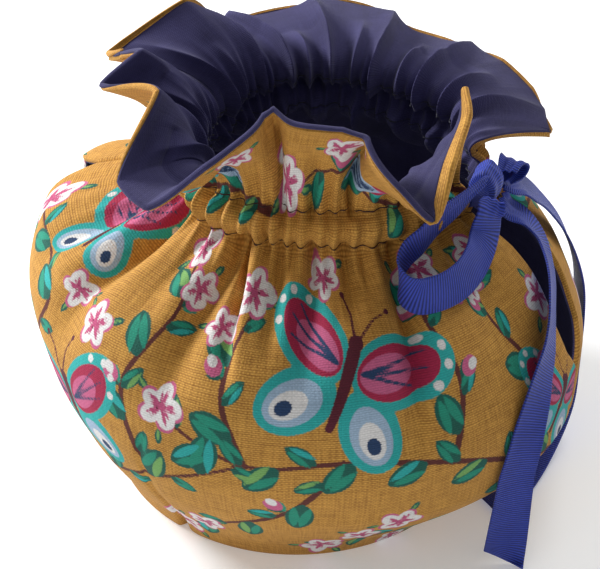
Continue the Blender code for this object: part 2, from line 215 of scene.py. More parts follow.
for name, place, width, power in LIGHTS:
    light_data = bpy.data.lights.new(name, "AREA")
    light_data.shape = "DISK"
    light_data.size = width
    light_data.energy = power
    light = bpy.data.objects.new(name, light_data)
    light.location = place
    light.rotation_euler = (LIGHTS_AIM - Vector(place)).to_track_quat("-Z", "Y").to_euler()
    bpy.context.scene.collection.objects.link(light)
world = bpy.data.worlds.new("studio")
world.use_nodes = True
background = world.node_tree.nodes["Background"]
background.inputs["Color"].default_value = (1.0, 1.0, 1.0, 1.0)
background.inputs["Strength"].default_value = WORLD_POWER
bpy.context.scene.world = world
print("lights", [row[0] for row in LIGHTS])

# %% [markdown]
# The cloth stands in one smooth round shape, which the solids have too. Its tables say how far it stands
# out at each height and how the rim of the ruffle runs in and out, and smooth curves join the rows. The
# same tables are used here, so every layer of cloth follows the solids and can be cut as finely as
# needed.

# %% The shape that the cloth hangs in
SHIFT = np.array((0.00193, 0.00065, 0.0))
OUTER_THICK = 0.0010
LINING_THICK = 0.0009
LINING_DEPTH = 0.0012
RUFFLE_SHIFT = 0.0015
HEM, CASING_LOW, CASING_HIGH, RIM = 0.0, 8.0, 10.0, 11.0

LEVELS = (
    # height, handle, front, spout, back
    (0.0000, 0.0580, 0.0615, 0.0600, 0.0600),
    (0.0060, 0.0630, 0.0640, 0.0620, 0.0640),
    (0.0140, 0.0730, 0.0690, 0.0640, 0.0700),
    (0.0300, 0.0860, 0.0780, 0.0700, 0.0790),
    (0.0460, 0.0865, 0.0820, 0.0780, 0.0830),
    (0.0640, 0.0800, 0.0800, 0.0835, 0.0810),
    (0.0790, 0.0710, 0.0700, 0.0800, 0.0700),
    (0.0915, 0.0585, 0.0500, 0.0500, 0.0500),
    (0.0975, 0.0525, 0.0425, 0.0345, 0.0425),
    (0.1030, 0.0530, 0.0430, 0.0335, 0.0430),
    (0.1080, 0.0505, 0.0405, 0.0305, 0.0405),
)
RIM_LOBES = (
    # casing turn, rim turn, reach, height, rise
    (9, 15, 0.0515, 0.1387, 0.016),
    (20, 24, 0.0588, 0.1372, 0.016),
    (31, 36, 0.0670, 0.1318, 0.014),
    (42, 44, 0.0740, 0.1215, 0.010),
    (50, 49, 0.0677, 0.1290, 0.014),
    (63, 59, 0.0514, 0.1377, 0.018),
    (74, 71, 0.0477, 0.1382, 0.018),
    (82, 81, 0.0475, 0.1382, 0.018),
    (96, 94, 0.0608, 0.1310, 0.016),
    (109, 106, 0.0686, 0.1188, 0.012),
    (117, 116, 0.0669, 0.1208, 0.012),
    (132, 124, 0.0473, 0.1372, 0.016),
    (153, 153, 0.0563, 0.1282, 0.012),
    (167, 157, 0.0447, 0.1362, 0.016),
    (190, 182, 0.0620, 0.1220, 0.012),
    (214, 207, 0.0520, 0.1320, 0.014),
    (240, 228, 0.0671, 0.1135, 0.010),
    (253, 243, 0.0694, 0.1142, 0.010),
    (268, 259, 0.0696, 0.1178, 0.010),
    (278, 270, 0.0705, 0.1157, 0.010),
    (288, 279, 0.0720, 0.1102, 0.010),
    (302, 292, 0.0733, 0.1095, 0.010),
    (315, 305, 0.0753, 0.1092, 0.010),
    (326, 315, 0.0770, 0.1052, 0.010),
    (342, 329, 0.0750, 0.1010, 0.008),
    (351, 333, 0.0735, 0.1040, 0.006),
)
RIM_CORNERS = 0.5
print("levels", len(LEVELS), "rim lobes", len(RIM_LOBES))

# %% [markdown]
# Two kinds of curve join the rows of a table. A steady one never passes beyond its rows, which suits the
# body, and a flowing one swings freely between them, which suits the rim and the ribbons. Blender's own
# curves could do it too, but these can be read at any place, for thousands of points at once.


# %% Curves through the rows of a table
def slopes(places, rows):
    """Step lengths and rises between the rows of a table."""
    steps = np.diff(places)[:, None]
    return steps, np.diff(rows, axis=0) / steps


def hermite(places, rows, tangents, at):
    """The rows joined by cubic pieces with the given tangents, read at each place in at."""
    steps, _ = slopes(places, rows)
    at = np.asarray(at, float)
    k = np.clip(np.searchsorted(places, at, side="right") - 1, 0, len(places) - 2)
    t = ((at - places[k]) / steps[k, 0])[..., None]
    h = steps[k]
    start = (1 + 2 * t) * (1 - t) ** 2 * rows[k] + t * (1 - t) ** 2 * h * tangents[k]
    end = t * t * (3 - 2 * t) * rows[k + 1] + t * t * (t - 1) * h * tangents[k + 1]
    return start + end


def steady(places, rows, at):
    """A smooth curve through the rows that never passes beyond them."""
    places, rows = np.asarray(places, float), np.asarray(rows, float)
    _, rise = slopes(places, rows)
    tangents = np.zeros_like(rows)
    tangents[0], tangents[-1] = rise[0], rise[-1]
    same = rise[1:] * rise[:-1] > 0
    total = np.where(same, rise[1:] + rise[:-1], 1.0)
    tangents[1:-1] = np.where(same, 2 * rise[1:] * rise[:-1] / total, 0.0)
    return hermite(places, rows, tangents, at)


def flowing(places, rows, at):
    """A smooth curve through the rows that swings freely between them."""
    places, rows = np.asarray(places, float), np.asarray(rows, float)
    steps, rise = slopes(places, rows)
    tangents = np.zeros_like(rows)
    tangents[0], tangents[-1] = rise[0], rise[-1]
    tangents[1:-1] = (rise[1:] * steps[:-1] + rise[:-1] * steps[1:]) / (steps[1:] + steps[:-1])
    return hermite(places, rows, tangents, at)


def read(table, at):
    """The second column and on of a table, read straight between its rows."""
    table = np.asarray(table, float)
    return np.stack([np.interp(at, table[:, 0], column) for column in table[:, 1:].T], -1)


print("curves ready")

# %% [markdown]
# A spot on the cloth is named by its turn round the body and by its level, from 0 at the hem to 8 and 10
# at the two stitch lines and 11 at the rim. The body takes its reach from the table, and the ruffle bends
# up from the casing and out to the rim.


# %% The cloth without its folds
def around(turn, reach, height):
    """A point at a turn in radians from the handle by way of the front."""
    return np.stack([reach * np.cos(turn), -reach * np.sin(turn), height], -1)


def unit(vectors):
    """Vectors made one long."""
    return vectors / np.linalg.norm(vectors, axis=-1, keepdims=True)


def body(turn, level):
    """The body's smooth shape under its folds."""
    rows = steady(range(len(LEVELS)), LEVELS, level)
    cos, sin = np.cos(turn), np.sin(turn)
    side = np.where(cos >= 0, rows[..., 1], rows[..., 3])
    face = np.where(sin >= 0, rows[..., 2], rows[..., 4])
    return around(turn, side * cos**2 + face * sin**2, rows[..., 0])


def rim(turn):
    """The rim's points and the rise of the ruffle there, a little pressed into corners at the rows."""
    lobes = np.array(RIM_LOBES)
    points = around(np.radians(lobes[:, 1]), lobes[:, 2], lobes[:, 3])
    rows = np.column_stack([lobes[:, 0], points, lobes[:, 4]])
    degrees = np.degrees(turn)
    inside = np.clip(degrees, rows[0, 0], rows[-1, 0])
    soft = flowing(rows[:, 0], rows[:, 1:], degrees)
    joined = soft + RIM_CORNERS * (read(rows, inside) - flowing(rows[:, 0], rows[:, 1:], inside))
    return joined[..., :3], joined[..., 3:]


def base(turn, level):
    """The cloth without its folds, from the hem to the rim."""
    low = body(turn, np.minimum(level, CASING_HIGH))
    along = np.clip(level - CASING_HIGH, 0, 1)[..., None]
    edge, rise = rim(turn)
    start = body(turn, np.full_like(turn, CASING_HIGH))
    bend = start + rise * np.array([0.0, 0.0, 1.0])
    ruffle = (1 - along) ** 2 * start + 2 * along * (1 - along) * bend + along**2 * edge
    return np.where(level[..., None] <= CASING_HIGH, low, ruffle)


def outward(turn, level):
    """Unit vectors square to the smooth cloth, level at the hem."""
    small = 0.001
    across = base(turn + small, level) - base(turn - small, level)
    up = base(turn, np.minimum(level + small, RIM)) - base(turn, np.maximum(level - small, HEM))
    way = np.cross(across, up)
    way[level == HEM, 2] = 0.0
    way *= np.sign((way * around(turn, 1.0, np.zeros_like(turn))).sum(-1, keepdims=True).mean())
    return unit(way)


hem_front = base(np.array([math.pi / 2]), np.array([HEM]))[0]
print("front of the hem", [round(float(v), 4) for v in hem_front])

# %% [markdown]
# The drawstring gathers twice as much cloth as the neck is round. Under it the cloth hangs in long soft
# folds that run out over the belly, a few of them with a sharp side where the cloth laps over. Close to
# the stitches it stands in small uneven gathers with broad ridges and narrow valleys. Each is listed as a
# push along the cloth's own direction, so every layer takes the same folds. Only in the
# tightest ones, at the casing and in the ruffle, do the layers still cut into one another a little.

# %% Folds and gathers
FOLDS = (
    # turn at casing, turn at low end, level of low end, width in degrees, depth, side that is sharp
    (19, 19, 4.6, 7, 0.0030, 0),
    (38, 48, 4.3, 5, 0.0046, 1),
    (49, 52, 6.6, 2.5, 0.0014, 0),
    (55, 57, 6.3, 4, 0.0024, 0),
    (61, 63, 6.7, 2.4, 0.0014, 0),
    (67, 70, 5.4, 4.5, 0.0032, 0),
    (74, 76, 6.8, 2.4, 0.0013, 0),
    (80, 78, 5.8, 3.6, 0.0022, 0),
    (92, 86, 5.4, 3.4, 0.0034, 1),
    (95, 100, 4.6, 4.6, 0.0030, 0),
    (104, 107, 6.6, 2.6, 0.0009, 0),
    (112, 113, 5.8, 5, 0.0016, 0),
    (120, 122, 6.6, 2.6, 0.0007, 0),
    (129, 131, 4.6, 6, 0.0040, 0),
    (150, 148, 5.2, 6, 0.0026, 0),
    (200, 206, 4.8, 6, 0.0030, 0),
    (220, 222, 5.4, 5, 0.0024, 0),
    (238, 236, 4.6, 6, 0.0034, 1),
    (256, 258, 5.2, 5, 0.0026, 0),
    (275, 272, 4.5, 6, 0.0034, -1),
    (293, 296, 5.4, 5, 0.0024, 0),
    (312, 308, 4.8, 6, 0.0030, 1),
    (334, 336, 5.2, 5, 0.0024, 0),
)
GATHERS = (
    # level, depth of the small gathers
    (6.0, 0.0),
    (6.9, 0.0004),
    (7.5, 0.0011),
    (8.0, 0.0018),
    (9.0, 0.0017),
    (10.0, 0.0018),
    (10.15, 0.0012),
    (10.4, 0.0004),
    (10.8, 0.0),
)
GATHER_WAVES = (
    # share, gathers all round, how far they sway, sways all round, start, drift with the level
    (0.58, 58, 2.0, 5, 0.0, 1.0),
    (0.30, 37, 2.2, 4, 1.0, -1.0),
    (0.12, 91, 1.6, 7, 0.0, 2.0),
)
RUFFLE_FOLDS = (
    # turn at casing, turn at far end, share of the ruffle, width in degrees, depth
    (18, 20, 0.7, 2.6, 0.0020),
    (30, 32, 0.6, 2.2, 0.0018),
    (40, 41, 0.7, 2.4, 0.0022),
    (53, 61, 1.2, 2.0, 0.0058),
    (60, 62, 0.6, 2.0, 0.0014),
    (67, 66, 0.7, 2.2, 0.0020),
    (80, 81, 1.25, 1.8, 0.0060),
    (88, 87, 0.6, 2.0, 0.0016),
    (97, 99, 0.7, 2.6, 0.0022),
    (106, 109, 0.6, 2.2, 0.0016),
    (124, 121, 0.9, 3.0, 0.0030),
    (141, 142, 0.7, 2.6, 0.0020),
    (160, 158, 0.9, 3.0, 0.0026),
    (176, 174, 0.6, 2.4, 0.0016),
    (198, 196, 1.0, 2.6, 0.0034),
    (211, 210, 0.6, 2.0, 0.0020),
    (226, 222, 1.0, 2.2, 0.0034),
    (243, 241, 1.3, 1.6, 0.0042),
    (252, 252, 0.7, 2.0, 0.0022),
    (264, 262, 1.2, 1.8, 0.0040),
    (274, 275, 0.8, 1.8, 0.0024),
    (284, 281, 1.2, 2.0, 0.0040),
    (297, 296, 0.8, 1.8, 0.0028),
    (308, 305, 1.2, 2.2, 0.0038),
    (322, 320, 0.8, 2.0, 0.0028),
    (336, 334, 1.1, 2.2, 0.0034),
)
DARTS = (
    # turn at its point, turn at the hem, level of its point, width in degrees, depth
    (104, 106.5, 4.5, 1.3, 0.0026),
    (255, 252.5, 4.3, 1.3, 0.0024),
)
FOLD_DEEPER = 1.95
FOLD_FADE = 0.45
PLEAT_DEEPER = 1.5
RIM_CREASES = (
    # first turn, last turn, level, width in levels, push outward
    (20, 44, 10.72, 0.09, 0.0014),
    (58, 86, 10.80, 0.07, 0.0010),
    (97, 127, 10.68, 0.09, 0.0026),
    (146, 172, 10.70, 0.09, 0.0018),
    (236, 262, 10.66, 0.10, 0.0012),
    (290, 318, 10.62, 0.10, 0.0012),
)
PUFF = 0.0008
STITCH_DENT = 0.0009
STITCH_DENT_WIDTH = 0.24

print("folds", len(FOLDS), "ruffle folds", len(RUFFLE_FOLDS))

# %% [markdown]
# Every fold becomes a push along the cloth's own direction: a bell across its width, and a strength that
# grows and fades along its length. The pushes add up, and one function turns a turn, a level and a depth
# under the outer face into a point, so any layer can be asked for.


# %% How the folds push the cloth
def fold_depth(turn, level):
    """How far the folds push the cloth in."""
    degrees = np.degrees(turn)
    total = np.zeros_like(turn)
    for top_turn, low_turn, low_level, width, depth, sharp in FOLDS:
        down = np.clip((CASING_LOW - level) / (CASING_LOW - low_level), 0, 1)
        off = degrees - top_turn - (low_turn - top_turn) * down
        wide = width * (0.6 + 0.8 * down)
        wide = np.where(off * sharp < 0, wide * 0.35, wide)
        strength = np.sin(np.pi * np.clip(0.25 + 0.75 * down, 0, 1))
        strength = strength * np.clip(1 - (level - CASING_LOW) / FOLD_FADE, 0, 1)
        total += FOLD_DEEPER * depth * strength * np.exp(-np.abs(off / wide) ** 1.6)
    for top_turn, hem_turn, top_level, width, depth in DARTS:
        down = np.clip((top_level - level) / top_level, 0, 1)
        off = degrees - top_turn - (hem_turn - top_turn) * down
        wide = np.where(off > 0, width * 0.4, width * 1.6)
        total += depth * down**0.6 * np.exp(-np.abs(off / wide) ** 1.3)
    return total


def ruffle_folds(turn, level):
    """Pleats that run from the casing up into the ruffle and open out before the rim."""
    degrees = np.degrees(turn)
    up = level - CASING_HIGH
    total = np.zeros_like(turn)
    for low_turn, top_turn, reach, width, depth in RUFFLE_FOLDS:
        share = np.clip(up / reach, 0, 1)
        off = (degrees - low_turn - (top_turn - low_turn) * share) / (width * (0.7 + 0.9 * share))
        strength = np.where(up > -0.4, np.sin(np.pi * np.clip(0.22 + 0.78 * share, 0, 1)), 0)
        total += PLEAT_DEEPER * depth * strength * np.exp(-np.abs(off) ** 1.25)
    return total * np.clip((up + 0.4) / 0.4, 0, 1)


def gathers(turn, level):
    """The small gathers by the stitches, the puff between them and the dents that they pull."""
    drift = 0.45 * np.sin(2.1 * level)
    wave = np.zeros_like(turn)
    for share, count, sway, sways, start, drifts in GATHER_WAVES:
        wave += share * np.sin(count * turn + sway * np.sin(sways * turn) + start + drifts * drift)
    ridged = 2 * np.clip((wave + 1) / 2, 0, 1) ** 0.8 - 1
    uneven = 1 + 0.35 * np.sin(9 * turn + 0.7) * np.sin(4 * turn + 2.0)
    push = read(GATHERS, level)[..., 0] * ridged * uneven - ruffle_folds(turn, level)
    push += PUFF * np.exp(-(((level - 9.0) / 0.55) ** 2))
    degrees = np.degrees(turn)
    for first, last, middle, width, depth in RIM_CREASES:
        share = np.clip((degrees - first) / (last - first), 0, 1)
        push += depth * np.sin(np.pi * share) ** 0.5 * np.exp(-np.abs(level - middle) / width)
    for line in (CASING_LOW, CASING_HIGH):
        push -= STITCH_DENT * np.exp(-(((level - line) / STITCH_DENT_WIDTH) ** 2))
    return push


def cloth(turn, level, depth):
    """Points of the cloth at a depth under its outer face."""
    shift = RUFFLE_SHIFT * np.clip(level - CASING_HIGH, 0, 1)
    push = gathers(turn, level) + shift - fold_depth(turn, level) - depth
    points = base(turn, level) + outward(turn, level) * push[..., None]
    points[level == HEM, 2] = 0.0
    return points - SHIFT


print("front of the casing", cloth(np.array([math.pi / 2]), np.array([9.0]), 0.0)[0].round(4).tolist())

# %% [markdown]
# Each panel reaches from the handle slit to the spout hole, and its two side edges are drawn aside there.
# Its rows are spaced evenly along the cloth, from the hem to the rim, so the print isn't stretched. The
# rim is a turned seam: the cloth goes over the top in a small round roll, and the seam between print and
# lining lies on its outer side, on top, or inside, as the ruffle happens to twist.

# %% Edges of the panels and the roll of the rim
SLIT = (
    # level, front edge, back edge
    (4.0, 0.0, 0.0),
    (4.5, 3.5, 8.0),
    (5.0, 3.5, 11.0),
    (5.5, 2.5, 12.5),
    (6.0, 1.8, 13.0),
    (6.5, 1.8, 12.5),
    (7.0, 3.0, 11.5),
    (8.0, 7.0, 9.5),
    (9.0, 9.0, 9.0),
    (11.0, 9.0, 9.0),
)
SPOUT_HOLE = (
    # level, half width
    (4.5, 0.0),
    (5.0, 8.0),
    (5.5, 10.0),
    (6.0, 8.5),
    (6.5, 0.0),
)
EDGE_REACH = 36.0
SEAM_HALF = 0.25
ROLL = 0.00105
ROLL_LENGTH = math.pi * ROLL
RIM_SEAM = (
    # turn, place of the seam over the roll from its outer foot, in millimetres
    (0, 5.2),
    (24, 7.0),
    (38, 5.4),
    (44, 0.6),
    (60, 0.3),
    (95, 0.3),
    (112, 0.4),
    (120, 2.2),
    (140, 3.2),
    (156, 0.4),
    (176, 0.9),
    (192, 4.2),
    (215, 3.0),
    (235, 0.6),
    (300, 0.8),
    (330, 2.6),
    (360, 3.6),
)


def panel_turn(flat, level, back, gap):
    """The turn of each point of a panel, drawn aside at the slit and the spout hole."""
    slit = np.maximum(read(SLIT, level)[..., 1 if back else 0], gap)
    hole = np.maximum(read(SPOUT_HOLE, level)[..., 0], gap)
    from_slit = np.clip(1 - flat / EDGE_REACH, 0, 1) ** 2
    from_hole = np.clip(1 - (180 - flat) / EDGE_REACH, 0, 1) ** 2
    degrees = flat + slit * from_slit - hole * from_hole
    return np.radians(360 - degrees if back else degrees)


def even_levels(count):
    """Levels evenly spaced along the cloth, and how far each lies from the hem in metres."""
    level = np.linspace(HEM, RIM, 900)
    turns = np.radians(np.linspace(12, 348, 25))
    grid_turn, grid_level = np.meshgrid(turns, level)
    points = base(grid_turn, grid_level)
    steps = np.linalg.norm(np.diff(points, axis=0), axis=-1).mean(1)
    run = np.concatenate([[0.0], np.cumsum(steps)])
    wanted = np.linspace(0, run[-1], count)
    return np.interp(wanted, run, level), wanted


def rolled(turn, over, radius):
    """Points on the roll of the rim, a distance over it from its outer foot."""
    level = np.full_like(turn, RIM)
    edge = cloth(turn, level, 0.0)
    way = outward(turn, level)
    up = unit(edge - cloth(turn, level - 0.05, 0.0))
    side = unit(way - (way * up).sum(-1, keepdims=True) * up)
    angle = np.clip(over / ROLL, 0, math.pi)
    bow = radius[..., None] * (np.cos(angle)[..., None] * side + np.sin(angle)[..., None] * up)
    return edge - ROLL * side + bow


def ruffle_length(turn):
    """How long the ruffle is at each turn."""
    levels = np.linspace(CASING_HIGH, RIM, 12)
    points = [base(turn, np.full_like(turn, level)) for level in levels]
    return sum(np.linalg.norm(b - a, axis=-1) for a, b in zip(points, points[1:]))


ROWS, COLUMNS, ROLL_ROWS = 180, 372, 12
LEVEL_ROWS, HEIGHT_ROWS = even_levels(ROWS + 1)
CLOTH_HIGH = HEIGHT_ROWS[-1]
CLOTH_WIDE = 0.265
print("cloth from hem to rim", round(CLOTH_HIGH * 1000), "mm")

# %% [markdown]
# A sheet of cloth has two faces and a rounded edge between them. The face that is seen is cut finely,
# since it carries the print, and the hidden face can be coarser: only every second point of it is kept.
# Fans of triangles join the fine edge to the coarse one, so the sheet is closed like a real solid.

# %% Sheets of cloth as closed meshes
SEEN_SHARE = np.array([0.98, 0.62])
HIDDEN_SHARE, HIDDEN_START = 0.5, 0.66
MAP_MARGIN = 0.01
EDGE_ON_MAP = 0.9


def edge_walk(rows, columns):
    """The border of a grid, as row and column numbers in order."""
    walk = [(0, c) for c in range(columns - 1)]
    walk += [(r, columns - 1) for r in range(rows - 1)]
    walk += [(rows - 1, c) for c in range(columns - 1, 0, -1)]
    walk += [(r, 0) for r in range(rows - 1, 0, -1)]
    return walk


def grid_faces(numbers):
    """The quads between the numbered points of a grid."""
    corners = (numbers[:-1, :-1], numbers[1:, :-1], numbers[1:, 1:], numbers[:-1, 1:])
    return np.stack(corners, -1).reshape(-1, 4).tolist()


def linked(name, mesh, material, body_name="root"):
    """Puts a mesh in the scene as a smooth piece with its finish."""
    mesh.materials.append(material)
    mesh.shade_smooth()
    made = bpy.data.objects.new(name, mesh)
    bpy.context.scene.collection.objects.link(made)
    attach(made, body_name)
    return made


def turned_out(mesh):
    """Turns all faces of a closed mesh outward."""
    work = bmesh.new()
    work.from_mesh(mesh)
    bmesh.ops.recalc_face_normals(work, faces=work.faces[:])
    work.to_mesh(mesh)
    work.free()


def sheet_mesh(name, face, back, step, bulge):
    """A closed sheet from its seen face and its hidden face, both given as grids of points."""
    rows, columns = face.shape[:2]
    top = np.arange(rows * columns).reshape(rows, columns)
    under_points = back[::step, ::step]
    under = top.size + np.arange(under_points[..., 0].size).reshape(under_points.shape[:2])
    walk = edge_walk(rows, columns)
    ring = [top[r, c] for r, c in walk]
    first_mid = top.size + under.size
    inner = np.array([face[min(max(r, 1), rows - 2), min(max(c, 1), columns - 2)] for r, c in walk])
    border = np.array([face[r, c] for r, c in walk])
    behind = np.array([back[r, c] for r, c in walk])
    middle = (border + behind) / 2 + unit(border - inner) * bulge
    faces = grid_faces(top) + grid_faces(under[:, ::-1])
    count = len(walk)
    for k in range(count):
        after = (k + 1) % count
        faces.append([ring[after], ring[k], first_mid + k, first_mid + after])
    for k in range(0, count, step):
        one, two = walk[k], walk[(k + step) % count]
        low, high = under[one[0] // step, one[1] // step], under[two[0] // step, two[1] // step]
        half = max(step // 2, 1)
        for j in range(step):
            mids = [first_mid + (k + j + 1) % count, first_mid + (k + j) % count]
            faces.append(mids + [low if j < half else high])
        faces.append([first_mid + (k + half) % count, low, high])
    points = np.concatenate([face.reshape(-1, 3), under_points.reshape(-1, 3), middle])
    mesh = bpy.data.meshes.new(name)
    mesh.from_pydata(points.tolist(), [], [[int(i) for i in f] for f in faces])
    mesh.update()
    turned_out(mesh)
    return mesh, {"face": top.size, "walk": walk}


def add_map(mesh, name, places):
    """A UV map from one flat place for each point."""
    corner = np.zeros(len(mesh.loops), int)
    mesh.loops.foreach_get("vertex_index", corner)
    layer = mesh.uv_layers.new(name=name)
    layer.data.foreach_set("uv", places[corner].astype(np.float32).ravel())


def map_sheet(mesh, parts, wide, high, step):
    """The cloth's own place in millimetres, and a map that keeps its two faces apart."""
    rows, columns = wide.shape
    seen = np.stack([wide, high], -1)
    hidden = seen[::step, ::step]
    edge = []
    for r, c in parts["walk"]:
        aside = (c == columns - 1) - (c == 0), (r == rows - 1) - (r == 0)
        edge.append(seen[r, c] + EDGE_ON_MAP * np.array(aside))
    edge = np.array(edge)
    flat = np.concatenate([seen.reshape(-1, 2), hidden.reshape(-1, 2), edge])
    add_map(mesh, "Cloth", flat)
    span = max(np.ptp(flat[:, 0]), 1e-6)
    tall = max(np.ptp(flat[:, 1]), 1e-6)
    baked = (flat - flat.min(0)) / np.array([span, tall]) * SEEN_SHARE + MAP_MARGIN
    hidden_rows = slice(parts["face"], parts["face"] + hidden[..., 0].size)
    baked[hidden_rows, 1] = baked[hidden_rows, 1] * HIDDEN_SHARE + HIDDEN_START
    add_map(mesh, "OFBake", baked)
    return flat


print("sheet maker ready")

# %% [markdown]
# The print is a loose garden pattern in flat colours: butterflies, small birds, branches with leaves, open
# blossoms and buds. It could be drawn with nodes, but a few hundred shapes would make a huge tree. Each
# shape is worked out on the flat cloth instead, as a signed distance in millimetres, and the nearest one
# of each ink is stored at the points of the mesh. The shader cuts each ink off at zero, which keeps its
# edges crisp between the points.

# %% Inks and simple printed shapes
INKS = (
    # name, colour, from the first printed to the last
    ("twig", (0.115, 0.022, 0.016, 1.0)),
    ("leaf_dark", (0.004, 0.110, 0.080, 1.0)),
    ("leaf_green", (0.010, 0.290, 0.190, 1.0)),
    ("leaf_light", (0.190, 0.420, 0.120, 1.0)),
    ("turquoise", (0.020, 0.420, 0.400, 1.0)),
    ("crimson", (0.400, 0.012, 0.065, 1.0)),
    ("rose", (0.600, 0.120, 0.260, 1.0)),
    ("sky", (0.360, 0.500, 0.660, 1.0)),
    ("white", (0.800, 0.790, 0.780, 1.0)),
    ("navy", (0.012, 0.045, 0.130, 1.0)),
    ("blush", (0.520, 0.080, 0.200, 1.0)),
    ("wine", (0.100, 0.006, 0.020, 1.0)),
)
FAR = 9.0


class Print:
    """The flat cloth of one panel, in millimetres, and how far each spot lies from each ink."""

    def __init__(self, flat):
        self.flat = flat
        self.ink = {name: np.full(len(flat), FAR) for name, _ in INKS}

    def near(self, middle, reach):
        """The spots near a place, and where they lie from it."""
        off = self.flat - np.array(middle, float)
        chosen = np.nonzero(np.abs(off).max(1) < reach + FAR)[0]
        return chosen, off[chosen]

    def lay(self, ink, chosen, distance):
        self.ink[ink][chosen] = np.minimum(self.ink[ink][chosen], distance)

    def oval(self, ink, middle, long, wide, angle=0.0):
        """An oval from its half length, half width and angle."""
        chosen, off = self.near(middle, long)
        cos, sin = math.cos(angle), math.sin(angle)
        x = off[:, 0] * cos + off[:, 1] * sin
        y = off[:, 1] * cos - off[:, 0] * sin
        scaled = np.hypot(x / long, y / wide)
        slope = np.maximum(np.hypot(x / long**2, y / wide**2), 1e-6)
        self.lay(ink, chosen, scaled * (scaled - 1) / slope)

    def blade(self, ink, start, end, half_wide):
        """A pointed leaf shape between two places."""
        start, end = np.array(start, float), np.array(end, float)
        middle, along = (start + end) / 2, end - start
        half = np.linalg.norm(along) / 2
        way = along / (2 * half)
        chosen, off = self.near(middle, half)
        x = off @ way
        y = np.abs(off @ np.array([-way[1], way[0]]))
        bow = (half**2 + half_wide**2) / (2 * half_wide)
        distance = np.hypot(x, y + bow - half_wide) - bow
        past = np.maximum(np.abs(x) - half, 0)
        self.lay(ink, chosen, np.where(past > 0, np.hypot(past, y), distance))

    def stroke(self, ink, path, start_half, end_half):
        """A line of paint along a path that grows thicker or thinner."""
        path = np.array(path, float)
        halves = np.linspace(start_half, end_half, len(path))
        for a, b, ha, hb in zip(path, path[1:], halves, halves[1:]):
            middle, reach = (a + b) / 2, np.abs(b - a).max() / 2 + ha
            chosen, _ = self.near(middle, reach)
            off = self.flat[chosen] - a
            share = np.clip(off @ (b - a) / max((b - a) @ (b - a), 1e-9), 0, 1)
            gone = np.linalg.norm(off - share[:, None] * (b - a), axis=1)
            self.lay(ink, chosen, gone - (ha + (hb - ha) * share))


print("inks", [name for name, _ in INKS])

# %% [markdown]
# Each motif is a few ovals, blades and strokes laid over one another, as flat inks lie on cloth. It is
# drawn about its own middle and in parts of its own size, so one function serves every copy of it.


# %% Printed leaves, blossoms, buds, birds and butterflies
def turned(offset, angle):
    """A flat offset turned by an angle."""
    cos, sin = math.cos(angle), math.sin(angle)
    return np.array([offset[0] * cos - offset[1] * sin, offset[0] * sin + offset[1] * cos])


def print_leaf(sheet, foot, angle, long, tone):
    """A leaf in two or three greens with a dark rib."""
    foot = np.array(foot, float)
    tip = foot + turned((long, 0), angle)
    wide = long * (0.30 if tone % 2 else 0.24)
    sheet.blade("leaf_dark", foot, tip, wide)
    for side in (-1, 1):
        near = foot + turned((0.10 * long, side * 0.06 * long), angle)
        far = foot + turned((0.92 * long, side * 0.03 * long), angle)
        bend = turned((0, side * wide * 0.42), angle)
        ink = ("leaf_green", "turquoise", "leaf_light")[tone % 3] if side > 0 else "leaf_green"
        sheet.blade(ink, near + bend * 0.9, far + bend * 0.25, wide * 0.34)


def print_blossom(sheet, middle, size, angle):
    """An open blossom of five uneven petals, shaded at one side of each."""
    middle = np.array(middle, float)
    for k in range(5):
        way = angle + k * 2 * math.pi / 5 + 0.12 * math.sin(4 * k + angle)
        long = size * (0.37 + 0.05 * math.sin(3 * k + angle))
        wide = size * (0.30 + 0.03 * math.cos(5 * k))
        heart = middle + turned((size * 0.44, 0), way)
        shade = heart + turned((size * 0.06, size * 0.07), way)
        sheet.oval("rose", shade, long * 1.06, wide * 1.08, way + 0.3)
        sheet.oval("white", heart, long, wide, way + 0.3)
        for lean, reach, width in ((0.16, 0.66, 0.075), (-0.22, 0.52, 0.055)):
            tip = middle + turned((size * reach, 0), way + lean)
            sheet.blade("blush", middle, tip, size * width)
    sheet.oval("blush", middle, size * 0.15, size * 0.13)
    for k in range(4):
        sheet.oval("wine", middle + turned((size * 0.17, 0), angle + 1.6 * k), size * 0.045, size * 0.045)
    for aside in (0.5, 2.7):
        foot = middle + turned((size * 0.70, 0), angle + aside)
        sheet.blade("leaf_dark", foot, foot + turned((size * 0.62, 0), angle + aside), size * 0.14)
        sheet.blade("leaf_light", foot, foot + turned((size * 0.5, 0.03), angle + aside), size * 0.06)


def print_bud(sheet, foot, size, angle):
    """A closed bud in its green cup, on a short stalk."""
    foot = np.array(foot, float)
    middle = foot + turned((size * 0.9, 0), angle)
    sheet.stroke("twig", [foot, middle], 0.5, 0.4)
    sheet.oval("rose", middle, size * 0.55, size * 0.42, angle)
    sheet.oval("white", middle + turned((size * 0.22, size * 0.1), angle), size * 0.34, size * 0.24, angle)
    cup = foot + turned((0.1 * size, 0), angle)
    for ink, side in (("leaf_green", 1), ("leaf_dark", -1)):
        sheet.blade(ink, cup, middle + turned((0.1, side * size * 0.5), angle), size * 0.16)


